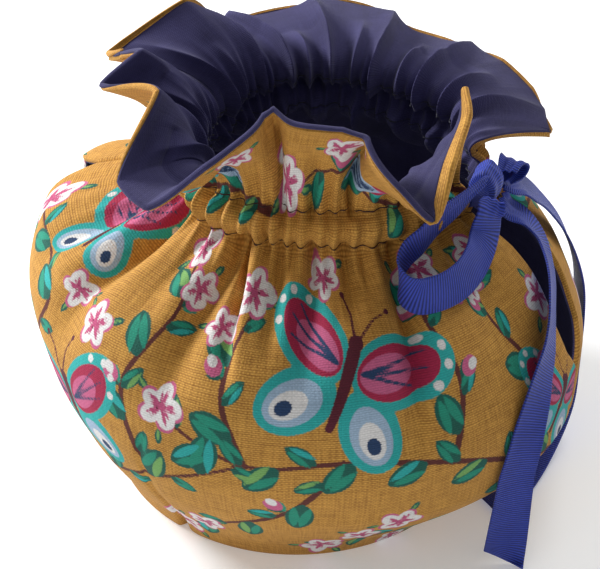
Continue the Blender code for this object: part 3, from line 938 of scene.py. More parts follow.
def print_bird(sheet, middle, size, angle, side):
    """A small perched bird, drawn facing along +x and mirrored when side is -1."""

    def at(x, y):
        return np.array(middle, float) + turned((side * x * size, y * size), angle * side)

    lean = side * 0.24 + angle * side
    for spread in (-0.12, 0.0, 0.12):
        sheet.blade("sky", at(-9, -2), at(-27, -7 + 26 * spread), 2.5 * size)
        quill = [at(-13, -3 + 8 * spread), at(-24, -6.2 + 22 * spread)]
        sheet.stroke("navy", quill, 0.5 * size, 0.8 * size)
    sheet.oval("turquoise", at(-0.5, -0.6), 12.5 * size, 8.8 * size, lean)
    sheet.oval("turquoise", at(9.6, 6.4), 6.2 * size, 5.5 * size, lean)
    sheet.oval("rose", at(10.8, 8.6), 4.8 * size, 2.9 * size, lean)
    sheet.oval("sky", at(4.0, -4.4), 8.6 * size, 4.6 * size, lean)
    sheet.oval("white", at(5.2, -5.0), 6.4 * size, 3.2 * size, lean)
    sheet.blade("crimson", at(5, 4.0), at(-18, -4.0), 5.6 * size)
    for k, drop in enumerate((1.6, 0.0, -1.6, -3.0)):
        sheet.blade("rose", at(-1 - 2 * k, 1.6 + drop), at(-15 + k, -2.6 + drop * 0.6), 0.7 * size)
    sheet.oval("sky", at(1.8, 2.8), 5.0 * size, 3.2 * size, lean)
    for k in range(3):
        sheet.oval("navy", at(4.0 - 2.3 * k, 3.6 - 0.6 * k), 1.1 * size, 0.6 * size, lean + 0.5)
        sheet.oval("navy", at(2.8 - 2.3 * k, 1.6 - 0.6 * k), 1.0 * size, 0.55 * size, lean + 0.5)
    sheet.oval("white", at(12.2, 5.2), 2.6 * size, 2.0 * size, lean)
    sheet.oval("wine", at(12.4, 6.9), 0.85 * size, 0.85 * size)
    sheet.stroke("wine", [at(15.2, 5.8), at(19.0, 4.6)], 1.05 * size, 0.25 * size)
    for foot in (-1.0, 2.5):
        sheet.stroke("wine", [at(foot, -7.6), at(foot + 0.4, -10.2)], 0.45 * size, 0.4 * size)


def print_butterfly(sheet, middle, size, angle):
    """A butterfly with open wings, banded, veined and spotted."""

    def at(x, y):
        return np.array(middle, float) + turned((x * size, y * size), angle)

    for flank in (-1, 1):
        lean, droop = angle + flank * 0.5, angle - flank * 0.8
        for ink, x, y, long, wide in (
            ("turquoise", 12.5, 6.5, 13.0, 8.2),
            ("crimson", 11.4, 5.9, 10.4, 5.9),
            ("rose", 9.4, 4.9, 7.4, 3.9),
        ):
            sheet.oval(ink, at(flank * x, y), long * size, wide * size, lean)
        for ink, x, y, long, wide in (
            ("turquoise", 8.8, -8.0, 9.4, 6.6),
            ("sky", 9.2, -8.6, 6.8, 4.4),
            ("white", 9.8, -9.4, 4.4, 2.7),
            ("navy", 10.6, -10.4, 2.0, 1.5),
        ):
            sheet.oval(ink, at(flank * x, y), long * size, wide * size, droop)
        for way in (-0.9, -0.3, 0.3, 0.9):
            spot = turned((11.2 * math.cos(way), 6.9 * math.sin(way)), 0.5)
            sheet.oval("white", at(flank * (12.5 + spot[0]), 6.5 + spot[1]), 1.1 * size, 1.1 * size)
        for x, y in ((17.5, 12.0), (18.5, 8.5), (16.5, 4.0)):
            sheet.stroke("navy", [at(flank * 3.0, 2.5), at(flank * x, y)], 0.45 * size, 0.3 * size)
        feeler = [at(flank * 0.6, 9), at(flank * 3, 15), at(flank * 6.5, 19)]
        sheet.stroke("wine", feeler, 0.4 * size, 0.3 * size)
        sheet.oval("wine", feeler[-1], 0.8 * size, 0.8 * size)
    sheet.stroke("wine", [at(0, -10), at(0, -3), at(0, 6)], 0.9 * size, 1.6 * size)
    sheet.oval("wine", at(0, 8), 1.9 * size, 1.9 * size)


print("motifs ready")

# %% [markdown]
# The motifs are laid out on the flat cloth, in millimetres from the handle edge and from the hem.
# Branches are paths, and leaves grow from them in turn to the left and right. The back panel has the
# same layout turned over from side to side.

# %% Layout of the print
FRONT_BRANCHES = (
    ((4, 26), (30, 40), (60, 54), (92, 60), (120, 58), (146, 68)),
    ((60, 54), (54, 76), (58, 98), (50, 112)),
    ((92, 60), (108, 40), (130, 26), (150, 10)),
    ((120, 58), (128, 82), (122, 104)),
    ((262, 22), (236, 28), (206, 30), (176, 32), (150, 44), (120, 58)),
    ((206, 30), (212, 56), (204, 78), (222, 88), (248, 90)),
    ((150, 44), (160, 72), (152, 98), (158, 116)),
    ((30, 40), (22, 64), (30, 90), (18, 112)),
    ((236, 28), (226, 12), (204, 6)),
    ((30, 40), (48, 22), (76, 18), (96, 8)),
    ((6, 132), (30, 140), (58, 136), (84, 146), (112, 140)),
    ((122, 134), (148, 138), (176, 136), (204, 148), (240, 140)),
)
FRONT_BLOSSOMS = (
    (52, 114, 10), (42, 103, 8), (150, 12, 10), (137, 21, 8), (124, 108, 10), (134, 97, 8), (146, 70, 9),
    (158, 118, 9), (149, 106, 8), (18, 112, 10), (30, 100, 8), (248, 92, 10), (204, 8, 10), (190, 14, 8),
    (96, 10, 10), (84, 22, 8), (5, 82, 9), (74, 32, 8), (178, 84, 9), (238, 60, 9), (252, 122, 9),
    (94, 116, 9), (112, 142, 10), (24, 152, 9), (204, 150, 10), (240, 142, 9), (90, 158, 8), (136, 156, 9),
    (66, 4, 8), (250, 6, 8), (196, 88, 8),
)
FRONT_BUDS = (
    (58, 98, 6, 1.0), (122, 104, 6, 2.4), (152, 98, 6, 2.4), (22, 64, 6, 2.6), (108, 40, 6, 0.8),
    (212, 56, 6, 0.4), (160, 72, 6, 0.5), (48, 22, 6, -1.3), (226, 12, 6, 0.2), (84, 146, 6, 0.9),
    (176, 136, 6, 1.2), (128, 82, 6, 0.6), (54, 76, 6, 2.6), (30, 90, 6, 0.7), (236, 28, 6, 1.2),
)
FRONT_BIRDS = (
    # across, up, size, angle, side
    (60, 148, 0.85, -0.1, -1),
    (160, 150, 0.85, 0.1, 1),
)
FRONT_BUTTERFLIES = (
    # across, up, size, angle
    (90, 83, 1.35, 0.45),
    (184, 52, 1.15, -0.40),
    (14, 50, 0.95, 0.60),
    (212, 108, 1.00, -0.25),
)


def print_layout(flat, branches, blossoms, buds, birds, butterflies):
    """Prints one panel and gives back how far each spot lies from each ink."""
    sheet = Print(flat)
    grown = 0
    for path in branches:
        path = np.array(path, float)
        run = np.concatenate([[0.0], np.cumsum(np.linalg.norm(np.diff(path, axis=0), axis=1))])
        smooth = flowing(run, path, np.linspace(0, run[-1], max(6, int(run[-1] / 4))))
        sheet.stroke("twig", smooth, 1.15, 0.55)
        spots = flowing(run, path, np.arange(8.0, run[-1] - 2, 10.5))
        ahead = flowing(run, path, np.arange(8.0, run[-1] - 2, 10.5) + 1.0) - spots
        for spot, way in zip(spots, ahead):
            grown += 1
            lean = math.atan2(way[1], way[0]) + (0.75 + 0.2 * math.sin(5 * grown)) * (-1) ** grown
            print_leaf(sheet, spot, lean, 12.0 + 3.0 * math.sin(3.1 * grown), grown)
    for across, up, size, angle in buds:
        print_bud(sheet, (across, up), size, angle)
    for number, (across, up, size) in enumerate(blossoms):
        print_blossom(sheet, (across, up), size, 0.7 * number)
    for across, up, size, angle, side in birds:
        print_bird(sheet, (across, up), size, angle, side)
    for across, up, size, angle in butterflies:
        print_butterfly(sheet, (across, up), size, angle)
    return sheet.ink


def mirrored_layout(branches, blossoms, buds, birds, butterflies):
    """The layout turned over from side to side, for the back panel."""
    wide = CLOTH_WIDE * 1000
    return (
        tuple(tuple((wide - x, y) for x, y in path) for path in branches),
        tuple((wide - x, y, size) for x, y, size in blossoms),
        tuple((wide - x, y, size, math.pi - angle) for x, y, size, angle in buds),
        tuple((wide - x, y, size, angle, -side) for x, y, size, angle, side in birds),
        tuple((wide - x, y, size, -angle) for x, y, size, angle in butterflies),
    )


print("butterflies", len(FRONT_BUTTERFLIES), "blossoms", len(FRONT_BLOSSOMS))

# %% [markdown]
# The outer cloth is a coarse plain weave of mustard cotton, about fourteen threads to the centimetre,
# with the print lying on the threads. It moves the inks' edges a little, so they look printed on cloth,
# and lifts the surface through a bump.

# %% Printed cloth finish
THREAD = 0.66
CHECKER = 0.15
ROWS_RAISED = 0.46
BETWEEN_THREADS = 0.25


def woven(finish, where, pitch, unevenness):
    """Height of a plain weave from 0 to 1."""
    wide, high = finish.parts(where)
    drift = finish.noise(where, 0.35, 1.0) * 2.0
    wide_wave = (wide * (math.pi / pitch) + drift).sine()
    high_wave = (high * (math.pi / pitch) + drift).sine()
    across_slub = finish.noise(finish.place("Cloth", (0.12, 1.6, 1.0)), 1.0, 1.0)
    up_slub = finish.noise(finish.place("Cloth", (1.6, 0.12, 1.0)), 1.0, 1.0)
    slubs = (across_slub + up_slub - 1.0) * unevenness
    return wide_wave * high_wave * CHECKER + high_wave * high_wave * ROWS_RAISED + BETWEEN_THREADS + slubs


def printed_cloth():
    """Mustard cotton with its print, painted darker between its threads as painted shade and lighter on
    their tops as painted light.
    """
    finish = Finish("printed_cloth_woven")
    where = finish.place("Cloth")
    weave = woven(finish, where, THREAD, 0.75)
    patch = finish.noise(where, 0.05, 3.0)
    # The low threads are painted darker and the high threads lighter: painted shade between the threads and
    # painted light on their tops.
    ground = finish.blend(weave.kept(), (0.215, 0.078, 0.006, 1.0), (0.700, 0.372, 0.070, 1.0))
    ground = finish.blend(patch * 0.22, ground, (0.46, 0.235, 0.030, 1.0))
    ragged = (finish.noise(where, 1.3, 2.0) - 0.5) * 0.5 + (weave - 0.5) * 0.25
    colour = ground
    for name, ink in INKS:
        mask = (0.5 - (finish.painted(name) + ragged) * 2.6).kept()
        # Each ink is painted darker where the weave is low: painted shade between the threads.
        ink_in_painted_shade = tuple(0.68 * part for part in ink[:3]) + (1.0,)
        tone = finish.blend(weave.kept(), ink_in_painted_shade, ink)
        colour = finish.blend(mask, colour, tone)
    return finish.finish(colour, 0.88, weave, 0.00022, 0.55)


printed_finish = printed_cloth()
print("printed cloth nodes", len(printed_finish.node_tree.nodes))

# %% [markdown]
# Each printed panel is one sheet: the even rows from hem to rim, then the rows over the roll as far as
# the rim seam. Near the slit and the spout hole the cloth turns in, which the rounded edge of the sheet
# shows.

# %% Outer panels
EDGE_TURN = 0.0016
EDGE_TURN_DEPTH = 0.0007
SEAM_TUCK = 0.0004
HIDDEN_STEP = 2


def seam_place(turn):
    """How far over the roll the rim seam lies, in metres."""
    table = np.array(RIM_SEAM, float)
    return steady(table[:, 0], table[:, 1:], np.degrees(turn))[..., 0] / 1000


def seam_tuck(left):
    """How far the cloth dips where it is this far from the rim seam."""
    return SEAM_TUCK * np.exp(-((left / SEAM_TUCK) ** 2))


def turned_in(flat):
    """Extra depth close to the side edges of a panel."""
    side = np.minimum(flat, 180 - flat) / 180 * CLOTH_WIDE
    return EDGE_TURN_DEPTH * np.clip(1 - side / EDGE_TURN, 0, 1) ** 2


def outer_points(back, depth):
    """The grid of a printed panel at a depth, with its rows over the roll."""
    flat, level = np.meshgrid(np.linspace(0, 180, COLUMNS + 1), LEVEL_ROWS)
    turn = panel_turn(flat, level, back, SEAM_HALF)
    main = cloth(turn, level, depth + turned_in(flat))
    flat = np.linspace(0, 180, COLUMNS + 1)[None, :]
    turn = panel_turn(flat, np.full_like(flat, RIM), back, SEAM_HALF)
    end = seam_place(turn)
    rows = []
    for k in range(1, ROLL_ROWS + 1):
        over = end * k / ROLL_ROWS
        tuck = seam_tuck(end - over)
        point = rolled(turn, over, ROLL - depth - tuck)
        past = np.maximum(over - ROLL_LENGTH, 0) / ruffle_length(turn)
        inside = cloth(turn, RIM - past, 2 * ROLL - depth - tuck)
        rows.append(np.where((past > 0)[..., None], inside, point)[0])
    return np.concatenate([main, np.array(rows)])


def panel_mesh(name, face, under, bulge, over):
    """A panel as a closed sheet, and the flat place of each of its points."""
    mesh, parts = sheet_mesh(name, face, under, HIDDEN_STEP, bulge)
    wide = np.linspace(0, CLOTH_WIDE * 1000, COLUMNS + 1)
    high = np.concatenate([HEIGHT_ROWS * 1000, CLOTH_HIGH * 1000 + over])
    grid_wide, grid_high = np.meshgrid(wide, high)
    return mesh, map_sheet(mesh, parts, grid_wide, grid_high, HIDDEN_STEP)


def outer_panel(name, back, layout):
    """One printed panel as a closed sheet with its print."""
    face, under = outer_points(back, 0.0), outer_points(back, OUTER_THICK)
    over = np.linspace(0, 5, ROLL_ROWS + 1)[1:]
    mesh, flat = panel_mesh(name, face, under, 0.0003, over)
    for ink, distance in print_layout(flat, *layout).items():
        stored = mesh.attributes.new(ink, "FLOAT", "POINT")
        stored.data.foreach_set("value", distance.astype(np.float32))
    made = linked(name, mesh, printed_finish)
    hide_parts(name.replace("cloth", "outer"))
    return made


front_layout = (FRONT_BRANCHES, FRONT_BLOSSOMS, FRONT_BUDS, FRONT_BIRDS, FRONT_BUTTERFLIES)
cloth_front = outer_panel("cloth_front", False, front_layout)
outer_panel("cloth_back", True, mirrored_layout(*front_layout))
print("front panel faces", len(cloth_front.data.polygons))

# %% [markdown]
# The lining is a smoother navy cotton cut in the same two shapes, and it shows in the whole ruffle and
# the neck. Its weave is the print's, finer and closer, and noise makes it fade in soft patches.


# %% Lining finish
def lining_cloth():
    """Navy cotton, smooth and matt, with soft patches where it fades, painted light on its thread tops and
    painted shade between them.
    """
    finish = Finish("dark_lining_woven")
    where = finish.place("Cloth")
    weave = woven(finish, where, 0.46, 0.6)
    patch = finish.noise(where, 0.09, 4.0, 0.6)
    deep = (0.012, 0.010, 0.034, 1.0)
    faded_and_lit = (0.062, 0.057, 0.165, 1.0)
    # The weave paints the thread tops lighter and the gaps darker: painted light and painted shade. The
    # noise patches are where the cloth fades.
    colour = finish.blend((weave * 0.35 + patch * 0.75).kept(), deep, faded_and_lit)
    finish.shader.inputs["Sheen Weight"].default_value = 0.08
    finish.shader.inputs["Sheen Roughness"].default_value = 0.45
    finish.shader.inputs["Specular IOR Level"].default_value = 0.25
    return finish.finish(colour, 0.92, weave, 0.00018, 0.8)


lining_finish = lining_cloth()
print("lining nodes", len(lining_finish.node_tree.nodes))

# %% [markdown]
# A lining panel hangs just inside its printed panel, and its seen face is the inner one. It starts a
# little above the table, where the hem is turned up over it, and ends at the rim seam: short of the rim
# where the print rolls over to the inside, and over the roll where the seam lies outside. It is cut on
# the print's own rows and columns, which keeps the two layers apart over the body. They meet at the side
# edges and the rim.

# %% Lining panels
LINING_LIFT = 0.0022
LINING_SEAM_HALF = 0.1
LINING_ROLL_ROWS = 8


def lining_points(back, depth):
    """The grid of a lining panel at a depth, with its rows over the roll."""
    flat, level = np.meshgrid(np.linspace(0, 180, COLUMNS + 1), LEVEL_ROWS)
    turn = panel_turn(flat, level, back, LINING_SEAM_HALF)
    top_turn = panel_turn(flat, np.full_like(level, RIM), back, LINING_SEAM_HALF)
    short = np.maximum(seam_place(top_turn) - ROLL_LENGTH, 0) / ruffle_length(top_turn)
    level = np.where(level > CASING_HIGH, CASING_HIGH + (level - CASING_HIGH) * (1 - short), level)
    main = cloth(turn, level, depth)
    main[0, :, 2] = LINING_LIFT
    flat = np.linspace(0, 180, COLUMNS + 1)[None, :]
    turn = panel_turn(flat, np.full_like(flat, RIM), back, LINING_SEAM_HALF)
    end = np.maximum(ROLL_LENGTH - seam_place(turn), 0)
    rows = []
    seen = depth > LINING_DEPTH + LINING_THICK / 2
    radius = ROLL if seen else ROLL - LINING_THICK
    top = main[-1]
    for k in range(1, LINING_ROLL_ROWS + 1):
        over = end * k / LINING_ROLL_ROWS
        tuck = seam_tuck(end - over)
        point = rolled(turn, ROLL_LENGTH - over, radius - tuck)
        rows.append(np.where((end > 0)[..., None], point, top[None] + 0.00002 * k)[0])
    return np.concatenate([main, np.array(rows)])


def lining_panel(name, back):
    """One half of the lining as a closed sheet."""
    face = lining_points(back, LINING_DEPTH + LINING_THICK)
    under = lining_points(back, LINING_DEPTH)
    mesh, _ = panel_mesh(name, face, under, 0.0002, np.linspace(0.5, 4, LINING_ROLL_ROWS))
    made = linked(name, mesh, lining_finish)
    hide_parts("lining")
    return made


lining_front = lining_panel("lining_front", False)
lining_panel("lining_back", True)
print("lining faces", len(lining_front.data.polygons))

# %% [markdown]
# The ribbon is grosgrain, a flat weave with a fine rib straight across it and a soft shine. One sine wave
# along its length is the rib, and it both shades the colour and lifts the surface.

# %% Ribbon finish
RIB = 0.78


def ribbed_ribbon():
    """Royal blue grosgrain: ribs across, with a soft shine on their tops."""
    finish = Finish("ribbed_ribbon_grosgrain")
    where = finish.place("Cloth")
    wide, along = finish.parts(where)
    rib = (along * (2 * math.pi / RIB)).sine() * 0.5 + 0.5
    thread = (wide * (2 * math.pi / 0.28)).sine() * 0.12
    height = rib + thread
    patch = finish.noise(where, 0.15, 3.0)
    mask = (rib * 0.8 + patch * 0.3 - 0.05).kept()
    colour = finish.blend(mask, (0.003, 0.007, 0.085, 1.0), (0.040, 0.078, 0.560, 1.0))
    finish.shader.inputs["Sheen Weight"].default_value = 0.05
    finish.shader.inputs["Sheen Roughness"].default_value = 0.35
    finish.shader.inputs["Specular IOR Level"].default_value = 0.35
    return finish.finish(colour, 0.52, height, 0.00022, 0.7)


ribbon_finish = ribbed_ribbon()
print("ribbon nodes", len(ribbon_finish.node_tree.nodes))

# %% [markdown]
# A bow could be simulated, but then it wouldn't keep the loops and tails that it is tied in. So each piece
# follows a route, the same as its solid's: points along its middle, the way that its width points there,
# and how far it is opened out from the pleats that the knot holds it in.

# %% Ribbon routes
FRONT_LOOP = (
    # x, y, z, width x, width y, width z, open
    (0.0590, -0.0075, 0.1030, 0.40, 0.85, 0.30, 0.50),
    (0.0590, -0.0105, 0.1010, 0.42, 0.88, 0.10, 0.85),
    (0.0585, -0.0120, 0.0980, 0.45, 0.85, -0.20, 1.00),
    (0.0585, -0.0135, 0.0950, 0.49, 0.66, -0.56, 1.00),
    (0.0585, -0.0175, 0.0930, 0.48, 0.30, -0.82, 1.00),
    (0.0585, -0.0240, 0.0920, 0.36, 0.10, -0.92, 1.00),
    (0.0565, -0.0330, 0.0910, 0.20, 0.05, -0.97, 1.00),
    (0.0525, -0.0390, 0.0905, 0.08, 0.05, -0.99, 1.00),
    (0.0480, -0.0420, 0.0905, 0.02, 0.05, -1.00, 1.00),
    (0.0445, -0.0420, 0.0920, 0.00, 0.12, -0.99, 1.00),
    (0.0420, -0.0390, 0.0950, 0.00, 0.22, -0.97, 1.00),
    (0.0425, -0.0355, 0.0985, -0.02, 0.32, -0.94, 1.00),
    (0.0455, -0.0315, 0.1015, -0.05, 0.38, -0.92, 1.00),
    (0.0480, -0.0250, 0.1040, -0.08, 0.40, -0.91, 1.00),
    (0.0515, -0.0190, 0.1060, -0.10, 0.42, -0.90, 0.90),
    (0.0545, -0.0130, 0.1080, -0.12, 0.45, -0.88, 0.65),
    (0.0565, -0.0080, 0.1090, -0.15, 0.50, -0.85, 0.40),
)
BACK_LOOP = (
    # x, y, z, width x, width y, width z, open
    (0.0590, 0.0072, 0.1040, 0.95, -0.25, 0.10, 0.45),
    (0.0592, 0.0105, 0.1052, 0.95, -0.30, 0.10, 0.60),
    (0.0596, 0.0138, 0.1046, 0.95, -0.30, 0.00, 0.75),
    (0.0598, 0.0152, 0.1027, 0.95, -0.30, 0.00, 0.80),
    (0.0596, 0.0138, 0.1008, 0.95, -0.30, 0.00, 0.75),
    (0.0592, 0.0105, 0.1001, 0.95, -0.30, -0.10, 0.60),
    (0.0590, 0.0074, 0.1006, 0.95, -0.25, -0.10, 0.45),
)
FRONT_TAIL = (
    # x, y, z, width x, width y, width z, open
    (0.0592, 0.0022, 0.0980, -0.30, -0.95, 0.05, 0.40),
    (0.0603, 0.0042, 0.0945, -0.15, -0.97, 0.15, 0.55),
    (0.0620, 0.0080, 0.0910, 0.00, -0.97, 0.22, 0.75),
    (0.0655, 0.0105, 0.0875, 0.05, -0.96, 0.25, 1.00),
    (0.0700, 0.0090, 0.0835, 0.02, -0.90, 0.40, 1.00),
    (0.0735, 0.0045, 0.0800, -0.02, -0.80, 0.58, 1.00),
    (0.0765, -0.0020, 0.0770, -0.04, -0.70, 0.70, 1.00),
    (0.0785, -0.0085, 0.0735, -0.04, -0.65, 0.75, 1.00),
    (0.0800, -0.0140, 0.0695, -0.06, -0.64, 0.76, 1.00),
    (0.0810, -0.0195, 0.0650, -0.14, -0.64, 0.75, 1.00),
    (0.0810, -0.0250, 0.0600, -0.28, -0.68, 0.68, 1.00),
    (0.0810, -0.0300, 0.0550, -0.43, -0.70, 0.56, 1.00),
    (0.0805, -0.0340, 0.0490, -0.55, -0.72, 0.42, 1.00),
    (0.0800, -0.0375, 0.0420, -0.64, -0.72, 0.28, 1.00),
    (0.0790, -0.0395, 0.0340, -0.70, -0.68, 0.18, 1.00),
    (0.0785, -0.0405, 0.0230, -0.78, -0.60, 0.08, 1.00),
    (0.0780, -0.0405, 0.0120, -0.88, -0.42, 0.00, 1.00),
    (0.0775, -0.0405, 0.0012, -0.96, -0.20, 0.00, 1.00),
)
BACK_TAIL = (
    # x, y, z, width x, width y, width z, open
    (0.0574, 0.0086, 0.0986, 0.85, -0.10, -0.50, 0.35),
    (0.0590, 0.0110, 0.0970, 0.85, -0.10, -0.50, 0.50),
    (0.0605, 0.0165, 0.0950, 0.78, -0.30, -0.50, 0.80),
    (0.0620, 0.0220, 0.0910, 0.68, -0.55, -0.40, 1.00),
    (0.0640, 0.0270, 0.0865, 0.58, -0.75, -0.20, 1.00),
    (0.0675, 0.0320, 0.0795, 0.50, -0.85, -0.05, 1.00),
    (0.0715, 0.0360, 0.0715, 0.45, -0.89, 0.00, 1.00),
    (0.0750, 0.0390, 0.0620, 0.45, -0.89, 0.00, 1.00),
    (0.0780, 0.0410, 0.0500, 0.46, -0.89, 0.00, 1.00),
    (0.0790, 0.0410, 0.0380, 0.48, -0.88, 0.00, 1.00),
    (0.0790, 0.0400, 0.0265, 0.52, -0.85, 0.05, 1.00),
    (0.0785, 0.0355, 0.0160, 0.68, -0.65, 0.30, 1.00),
    (0.0780, 0.0260, 0.0085, 0.88, -0.25, 0.38, 1.00),
    (0.0760, 0.0130, 0.0036, 0.97, 0.05, 0.20, 1.00),
    (0.0730, -0.0040, 0.0012, 0.97, 0.22, 0.02, 1.00),
    (0.0685, -0.0200, 0.0012, 0.94, 0.34, 0.00, 1.00),
)
print("front tail rows", len(FRONT_TAIL))

# %% [markdown]
# A ribbon piece is a closed sheet like the cloth, swept along its route. It is pleated where it is drawn
# together, crowned a little where it lies open, and cut at a slant at its free end.

# %% Ribbons
RIBBON_WIDTH = 0.012
RIBBON_THICK = 0.0005
RIBBON_CROSS = 20
CROWN = 0.00045
PLEAT = 0.0009
REST_HEIGHT = 0.0006
RIBBON_STEP = 0.0006
SLANT_ROWS = 12


def ribbon_grid(route, side, slant):
    """The grid of one face of a ribbon, side 1 or -1 from its middle, and its length.

    What would dip under the table at a cut end bends and lies on it instead.
    """
    route = np.array(route)
    run = np.concatenate([[0.0], np.cumsum(np.linalg.norm(np.diff(route[:, :3], axis=0), axis=1))])
    count = int(run[-1] / RIBBON_STEP) + 1
    rows = flowing(run, route, np.linspace(0, run[-1], count))
    for _ in range(6):
        rows[1:-1] = (rows[:-2] + 2 * rows[1:-1] + rows[2:]) / 4
    middle = rows[:, :3] - SHIFT
    ahead = unit(np.gradient(middle, axis=0))
    width = unit(rows[:, 3:6] - (rows[:, 3:6] * ahead).sum(1, keepdims=True) * ahead)
    facing = np.cross(ahead, width)
    across = np.linspace(-1, 1, RIBBON_CROSS + 1)[None, :, None]
    spread = np.clip(rows[:, 6], 0, 1)[:, None, None]
    pleats = PLEAT * (1 - spread) * np.sin(2.6 * math.pi * across)
    crown = CROWN * (1 - across**2) * spread
    thick = RIBBON_THICK / 2 * (1 + 0.25 * (np.abs(across) > 0.9))
    off = side * thick + crown + pleats
    grid = middle[:, None] + width[:, None] * across * spread * RIBBON_WIDTH / 2 + facing[:, None] * off
    last = np.clip((np.arange(count) - count + SLANT_ROWS) / SLANT_ROWS, 0, 1)[:, None, None]
    grid = grid + last * slant * across * RIBBON_WIDTH / 2 * ahead[:, None]
    sunk = np.clip(REST_HEIGHT - grid[..., 2:], 0, None)
    grid = grid + sunk * (np.array([0.0, 0.0, 1.0]) - facing[:, None])
    grid[..., 2:] -= side * RIBBON_THICK / 2 * np.clip(sunk / REST_HEIGHT, 0, 1)
    return grid, run[-1]


def ribbon(name, node, route, slant, flat_area):
    """One ribbon piece that stands for its solid."""
    face, length = ribbon_grid(route, 1, slant)
    under, _ = ribbon_grid(route, -1, slant)
    mesh, parts = sheet_mesh(name, face, under, 1, 0.0001)
    wide = np.linspace(0, RIBBON_WIDTH * 1000, RIBBON_CROSS + 1)
    along = np.linspace(0, length * 1000, len(face))
    grid_wide, grid_along = np.meshgrid(wide, along)
    map_sheet(mesh, parts, grid_wide, grid_along, 1)
    made = linked(name, mesh, ribbon_finish)
    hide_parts(node)
    share = flat_area * RIBBON_WIDTH * length
    print(name, round(length * 1000), "mm long")


print("ribbon", RIBBON_WIDTH * 1000, "mm wide")

# %% [markdown]
# The knot is one turn of ribbon round the crossing of loops and tails, and at each side of it the drawn
# ribbon runs into the casing. It is lofted as a tube: a table gives its half depth and half height from
# end to end, and low waves round it stand for the wraps. The stitches below are tubes too.

# %% Knot and bow
KNOT_MIDDLE = np.array((0.0548, 0.0, 0.1025))
KNOT = (
    # place across, half depth, half height
    (-0.0096, 0.0010, 0.0022),
    (-0.0080, 0.0014, 0.0028),
    (-0.0056, 0.0018, 0.0036),
    (-0.0047, 0.0022, 0.0042),
    (-0.0045, 0.0037, 0.0058),
    (-0.0034, 0.0041, 0.0063),
    (-0.0014, 0.0039, 0.0061),
    (0.0004, 0.0043, 0.0065),
    (0.0020, 0.0040, 0.0062),
    (0.0036, 0.0041, 0.0063),
    (0.0045, 0.0036, 0.0057),
    (0.0047, 0.0022, 0.0042),
    (0.0056, 0.0018, 0.0036),
    (0.0080, 0.0014, 0.0028),
    (0.0096, 0.0010, 0.0022),
)


def tube(name, rings, places, material):
    """A closed tube through rings of points, with the flat place of each point."""
    rows, count = rings.shape[:2]
    numbers = np.arange(rows * count).reshape(rows, count)
    closed = np.concatenate([numbers, numbers[:, :1]], axis=1)
    ends = [numbers[0].tolist(), numbers[-1].tolist()[::-1]]
    mesh = bpy.data.meshes.new(name)
    mesh.from_pydata(rings.reshape(-1, 3).tolist(), [], grid_faces(closed) + ends)
    turned_out(mesh)
    add_map(mesh, "Cloth", np.stack(places, -1).reshape(-1, 2))
    return linked(name, mesh, material)


def knot_piece(name):
    """The knot: one turn of ribbon round the bow, with the drawn ends running into the casing."""
    table = np.array(KNOT)
    across = np.linspace(table[0, 0], table[-1, 0], 76)
    rows = steady(table[:, 0], table[:, 1:], across)
    angle = np.linspace(0, 2 * math.pi, 73)[:-1]
    rings = []
    for place, (depth, height) in zip(across, rows):
        dent = 1 + 0.05 * np.sin(2 * angle + 700 * place) + 0.03 * np.sin(5 * angle)
        inward = -0.0024 * np.clip((abs(place) - 0.0056) / 0.004, 0, 1)
        x = KNOT_MIDDLE[0] + inward + depth * dent * np.cos(angle)
        z = KNOT_MIDDLE[2] + height * dent * np.sin(angle)
        rings.append(np.stack([x, np.full_like(x, place), z], -1))
    run, girth = np.meshgrid(across * 1000 + 20, angle * 5.0, indexing="ij")
    made = tube(name, np.array(rings) - SHIFT, (run, girth), ribbon_finish)
    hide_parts("ribbon_knot")
    return made


bow_knot = knot_piece("bow_knot")
ribbon("bow_loop_front", "ribbon_loop_front", FRONT_LOOP, 0.0, 0.95)
ribbon("bow_loop_back", "ribbon_loop_back", BACK_LOOP, 0.0, 0.75)
ribbon("bow_tail_front", "ribbon_tail_front", FRONT_TAIL, -0.5, 1.0)
ribbon("bow_tail_back", "ribbon_tail_back", BACK_TAIL, 0.5, 1.0)
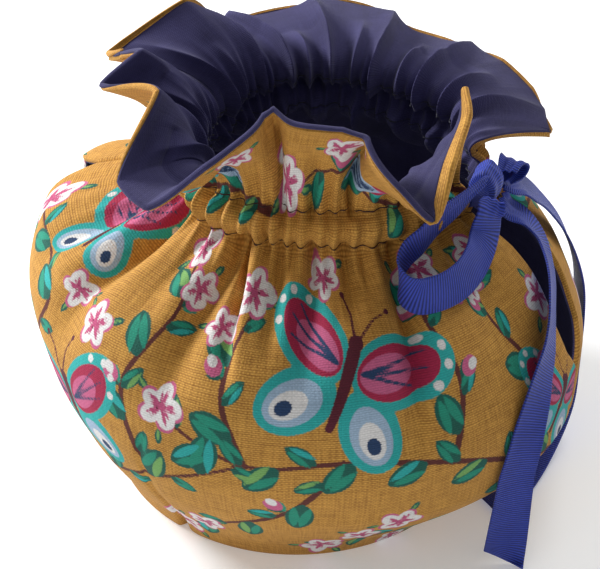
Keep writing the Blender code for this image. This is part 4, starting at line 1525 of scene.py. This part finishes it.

# %% [markdown]
# Two rows of dark thread hold the casing, and they show on both sides of the cloth. A sewn line is a real
# thread that dives in and out, so each row is a fine tube that rises higher over the cloth for a stitch
# and sinks lower between stitches without going under it.

# %% Stitches
THREAD_RADIUS = 0.00022
THREAD_SIDES = 6
STITCH = 0.0024
STITCH_RISE = 0.00012
STITCH_HEIGHT = 0.00026
STITCH_POINTS = 700
CASING_LINES = (("low", CASING_LOW), ("high", CASING_HIGH))


def thread_finish(name, dark, light):
    """Twisted sewing thread."""
    finish = Finish(name)
    where = finish.place("Cloth")
    wide, along = finish.parts(where)
    twist = ((along * 9.0 + wide * 6.0).sine()) * 0.5 + 0.5
    colour = finish.blend(twist, dark, light)
    return finish.finish(colour, 0.7, twist, 0.00005, 0.6)


maroon_thread = thread_finish("maroon_thread", (0.016, 0.003, 0.005, 1.0), (0.060, 0.012, 0.014, 1.0))
navy_thread = thread_finish("navy_thread", (0.004, 0.004, 0.010, 1.0), (0.016, 0.015, 0.036, 1.0))


def stitch_line(name, level, back, depth, sign, thread):
    """A row of stitches at one level, on the outer face or on the lining."""
    flat = np.linspace(1.0, 179.0, STITCH_POINTS)
    levels = np.full_like(flat, level)
    turn = panel_turn(flat, levels, back, SEAM_HALF)
    ground = cloth(turn, levels, depth)
    way = outward(turn, levels) * sign
    run = np.concatenate([[0.0], np.cumsum(np.linalg.norm(np.diff(ground, axis=0), axis=1))])
    height = STITCH_RISE * np.sin(2 * math.pi * run / STITCH) + STITCH_HEIGHT
    middle = ground + way * height[:, None]
    ahead = unit(np.gradient(middle, axis=0))
    side = np.cross(ahead, way)
    angle = np.linspace(0, 2 * math.pi, THREAD_SIDES + 1)[:-1]
    rings = middle[:, None] + THREAD_RADIUS * (
        np.cos(angle)[None, :, None] * side[:, None] + np.sin(angle)[None, :, None] * way[:, None]
    )
    along, girth = np.meshgrid(run * 1000, angle, indexing="ij")
    made = tube(name, rings, (girth, along), thread)


for back in (False, True):
    side = "back" if back else "front"
    for place, level in CASING_LINES:
        stitch_line(f"stitches_outer_{side}_{place}", level, back, 0.0, 1, maroon_thread)
        inner = LINING_DEPTH + LINING_THICK
        stitch_line(f"stitches_lining_{side}_{place}", level, back, inner, -1, navy_thread)
print("stitch rows", 4 * len(CASING_LINES))
